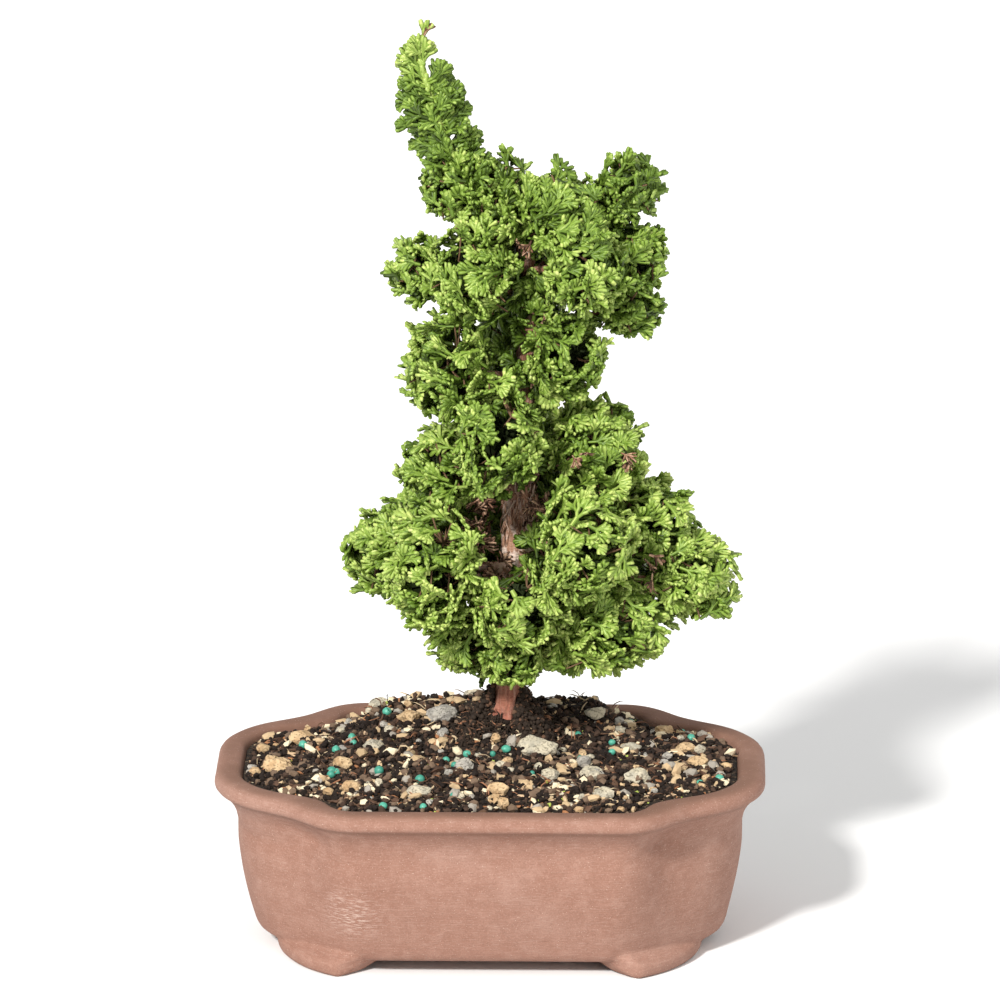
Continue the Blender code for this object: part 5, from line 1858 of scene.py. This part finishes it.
    def twigs_to(self, room: Room, roots: Array) -> None:
        """Adds twigs that branch from the end of the mass's stem to the root of every spray.

        Args:
            room: The mass's room.
            roots: Of its sprays.
        """
        name = room.mass.name
        if name in self.boughs:
            start, thick = self.boughs[name].points[-1], self.boughs[name].radii[-1]
        else:
            start, thick = self.trunk.at_height(room.mass.leaves_trunk)[0], 1.2
        self.add_twigs(start[None], room.centre[None], thick)
        spots = even_headings(9)
        shell, wall = room.shell_and_wall(room.centre, spots)
        forks = room.centre + spots * (np.minimum(shell, wall) * 0.42)[:, None]
        nearest = np.linalg.norm(roots[:, None] - forks[None], axis=2).argmin(axis=1)
        used = np.unique(nearest)
        self.add_twigs(np.repeat(room.centre[None], len(used), 0), forks[used], 0.75)
        self.add_twigs(forks[nearest], roots, 0.48)

    def leader_stem(self) -> None:
        """Adds the green upper stem: scale-leafed fingers that overlap along the leader."""
        heights = np.repeat(np.arange(*self.stem_heights), 2)
        points, radii = self.trunk.at_height(heights)
        ahead = unit(points - self.trunk.at_height(heights - 3.0)[0])
        turn = np.arange(len(points)) * (math.pi + 0.6)
        across, over = side_axes(ahead)
        out = across * np.cos(turn)[:, None] + over * np.sin(turn)[:, None]
        tips = points + ahead * 3.6 + out * 1.1
        spikes = FINGER.points(points + out * 0.35, tips, out, radii + 0.5, np.zeros(len(points)))
        FINGER.lay(self.leaves, spikes, int(Leaf.BRIGHT), int(Leaf.TIP))

    def ribs_to(self, roots: Array) -> None:
        """Adds green ribs from the leader's stem up to the roots of its sprays."""
        away, _ = self.trunk.nearest(roots)
        starts = self.trunk.at_height(roots[:, 2] - 0.6 * away)[0]
        normals = np.repeat([[0.0, -1.0, 0.0]], len(roots), 0)
        spikes = FINGER.points(starts, roots, normals, np.full(len(roots), 0.8), 0.05 * away)
        FINGER.lay(self.leaves, spikes, int(Leaf.FRESH), int(Leaf.FRESH))

    def build_foliage(self) -> None:
        """Grows every mass and joins its sprays into a few pieces."""
        looks = LEAF_LOOKS.items()
        finishes = [PlainFinish(f"leaf_{leaf.name.lower()}", *look).make() for leaf, look in looks]
        names, number = [], 1
        for spray in self.grow_on_trunk():
            if not self.hides_bark(spray):
                self.add_spray(spray)
        for spray in (*self.grow_dead(), *self.grow_in_gaps()):
            self.add_spray(spray)
        self.leader_stem()
        for room in self.rooms:
            if self.leaves.triangles > FULL_PIECE:
                give(self.leaves.build(f"sprays_{number}", finishes), names)
                self.leaves, names, number = Batch(), [], number + 1
            self.set_centre(room)
            sprays = [spray for spray in self.sprays_of(room) if not self.hides_bark(spray)]
            for spray in sprays:
                self.add_spray(spray)
            roots = np.array([spray.root for spray in sprays])
            if room.mass.look is Look.FULL:
                self.shade_leaves(room)
                self.twigs_to(room, roots)
            else:
                self.ribs_to(roots)
            names.append(room.mass.name)
            log.info("%s: %d sprays", room.mass.name, len(sprays))
        give(self.leaves.build(f"sprays_{number}", finishes), names)
        self.peel_bark()
        give(self.twigs.build("twigs", [finish.make() for finish in self.wood_finishes]))

    def build(self) -> None:
        """Makes the whole tree."""
        self.build_bark()
        self.build_foliage()


@dataclass
class Sun:
    """One far light, with the angle that it fills in the sky, which softens its shadows.

    Its height is an angle above the floor, and its side one round from the front, positive to the right.
    """

    name: str
    energy: float
    width: float
    height: float
    side: float
    colour: Colour = (1.0, 0.985, 0.955)

    def build(self) -> None:
        """Makes the light."""
        data = bpy.data.lights.new(self.name, "SUN")
        data.energy = self.energy
        data.angle = math.radians(self.width)
        data.color = self.colour
        lamp = bpy.data.objects.new(self.name, data)
        lamp.rotation_euler = (math.pi / 2 - math.radians(self.height), 0.0, math.radians(self.side))
        bpy.context.scene.collection.objects.link(lamp)


@dataclass
class Studio:
    """A pale floor, soft light and the photograph's camera."""

    azimuth: float = math.radians(1.2)
    elevation: float = math.radians(15.8)
    distance: float = 3.5
    aim: Place = (0.0034, 0.0, 0.1659)
    pixels_per_mm: float = 2.74
    frame_pixels: float = 1000.0
    sensor: float = 36.0
    farthest: float = 100.0
    floor_reach: float = 4000.0
    surround: float = 0.66
    floor: PlainFinish = PlainFinish("floor", (0.84, 0.84, 0.84), 0.9, 0.1)
    suns: tuple[Sun, ...] = field(default_factory=lambda: (
        Sun("key", 4.4, 7.0, 36.0, -26.0), Sun("fill", 0.85, 60.0, 30.0, 48.0),
    ))

    def build_floor(self) -> None:
        """Makes the ground, which isn't part of the object."""
        batch = Batch()
        corners = np.array([(-1, -1, 0), (1, -1, 0), (1, 1, 0), (-1, 1, 0)]) * self.floor_reach
        batch.add(corners, (np.array([[0, 1, 2, 3]]), 0))
        batch.build("floor", [self.floor.make()])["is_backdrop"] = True

    def build_camera(self) -> None:
        """Sets a long lens at the photograph's angle."""
        data = bpy.data.cameras.new("camera")
        data.sensor_width = self.sensor
        data.lens = self.pixels_per_mm * self.distance / MM * self.sensor / self.frame_pixels
        data.clip_end = self.farthest
        camera = bpy.data.objects.new("camera", data)
        back = np.array([
            math.sin(self.azimuth) * math.cos(self.elevation),
            -math.cos(self.azimuth) * math.cos(self.elevation),
            math.sin(self.elevation),
        ])
        camera.location = np.array(self.aim) + self.distance * back
        camera.rotation_euler = (math.pi / 2 - self.elevation, 0.0, self.azimuth)
        bpy.context.scene.collection.objects.link(camera)
        bpy.context.scene.camera = camera

    def build_light(self) -> None:
        """Makes a bright, even surround, a strong light from the upper left and a weak one from the right."""
        world = bpy.data.worlds.new("surround")
        world.use_nodes = True
        background = world.node_tree.nodes["Background"].inputs
        background["Color"].default_value = (1.0, 1.0, 1.0, 1.0)
        background["Strength"].default_value = self.surround
        bpy.context.scene.world = world
        for sun in self.suns:
            sun.build()
        bpy.context.scene.view_settings.view_transform = "Standard"

    def build(self) -> None:
        """Makes floor, camera and light."""
        self.build_floor()
        self.build_camera()
        self.build_light()


def write_sizes() -> None:
    """Works out the box of the solids and the box of the pieces that show."""
    boxes = {"cad": CAD_BOX, "visual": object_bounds()}
    {name: [list(corner) for corner in box] for name, box in boxes.items()}


def main() -> None:
    """Builds the object and the studio round it."""
    logging.basicConfig(level=logging.INFO, format="%(message)s")
    pot = Pot()
    pot.build()
    Soil(pot).build()
    Crown().build()
    Studio().build()
    write_sizes()


if __name__ == "__main__":
    main()
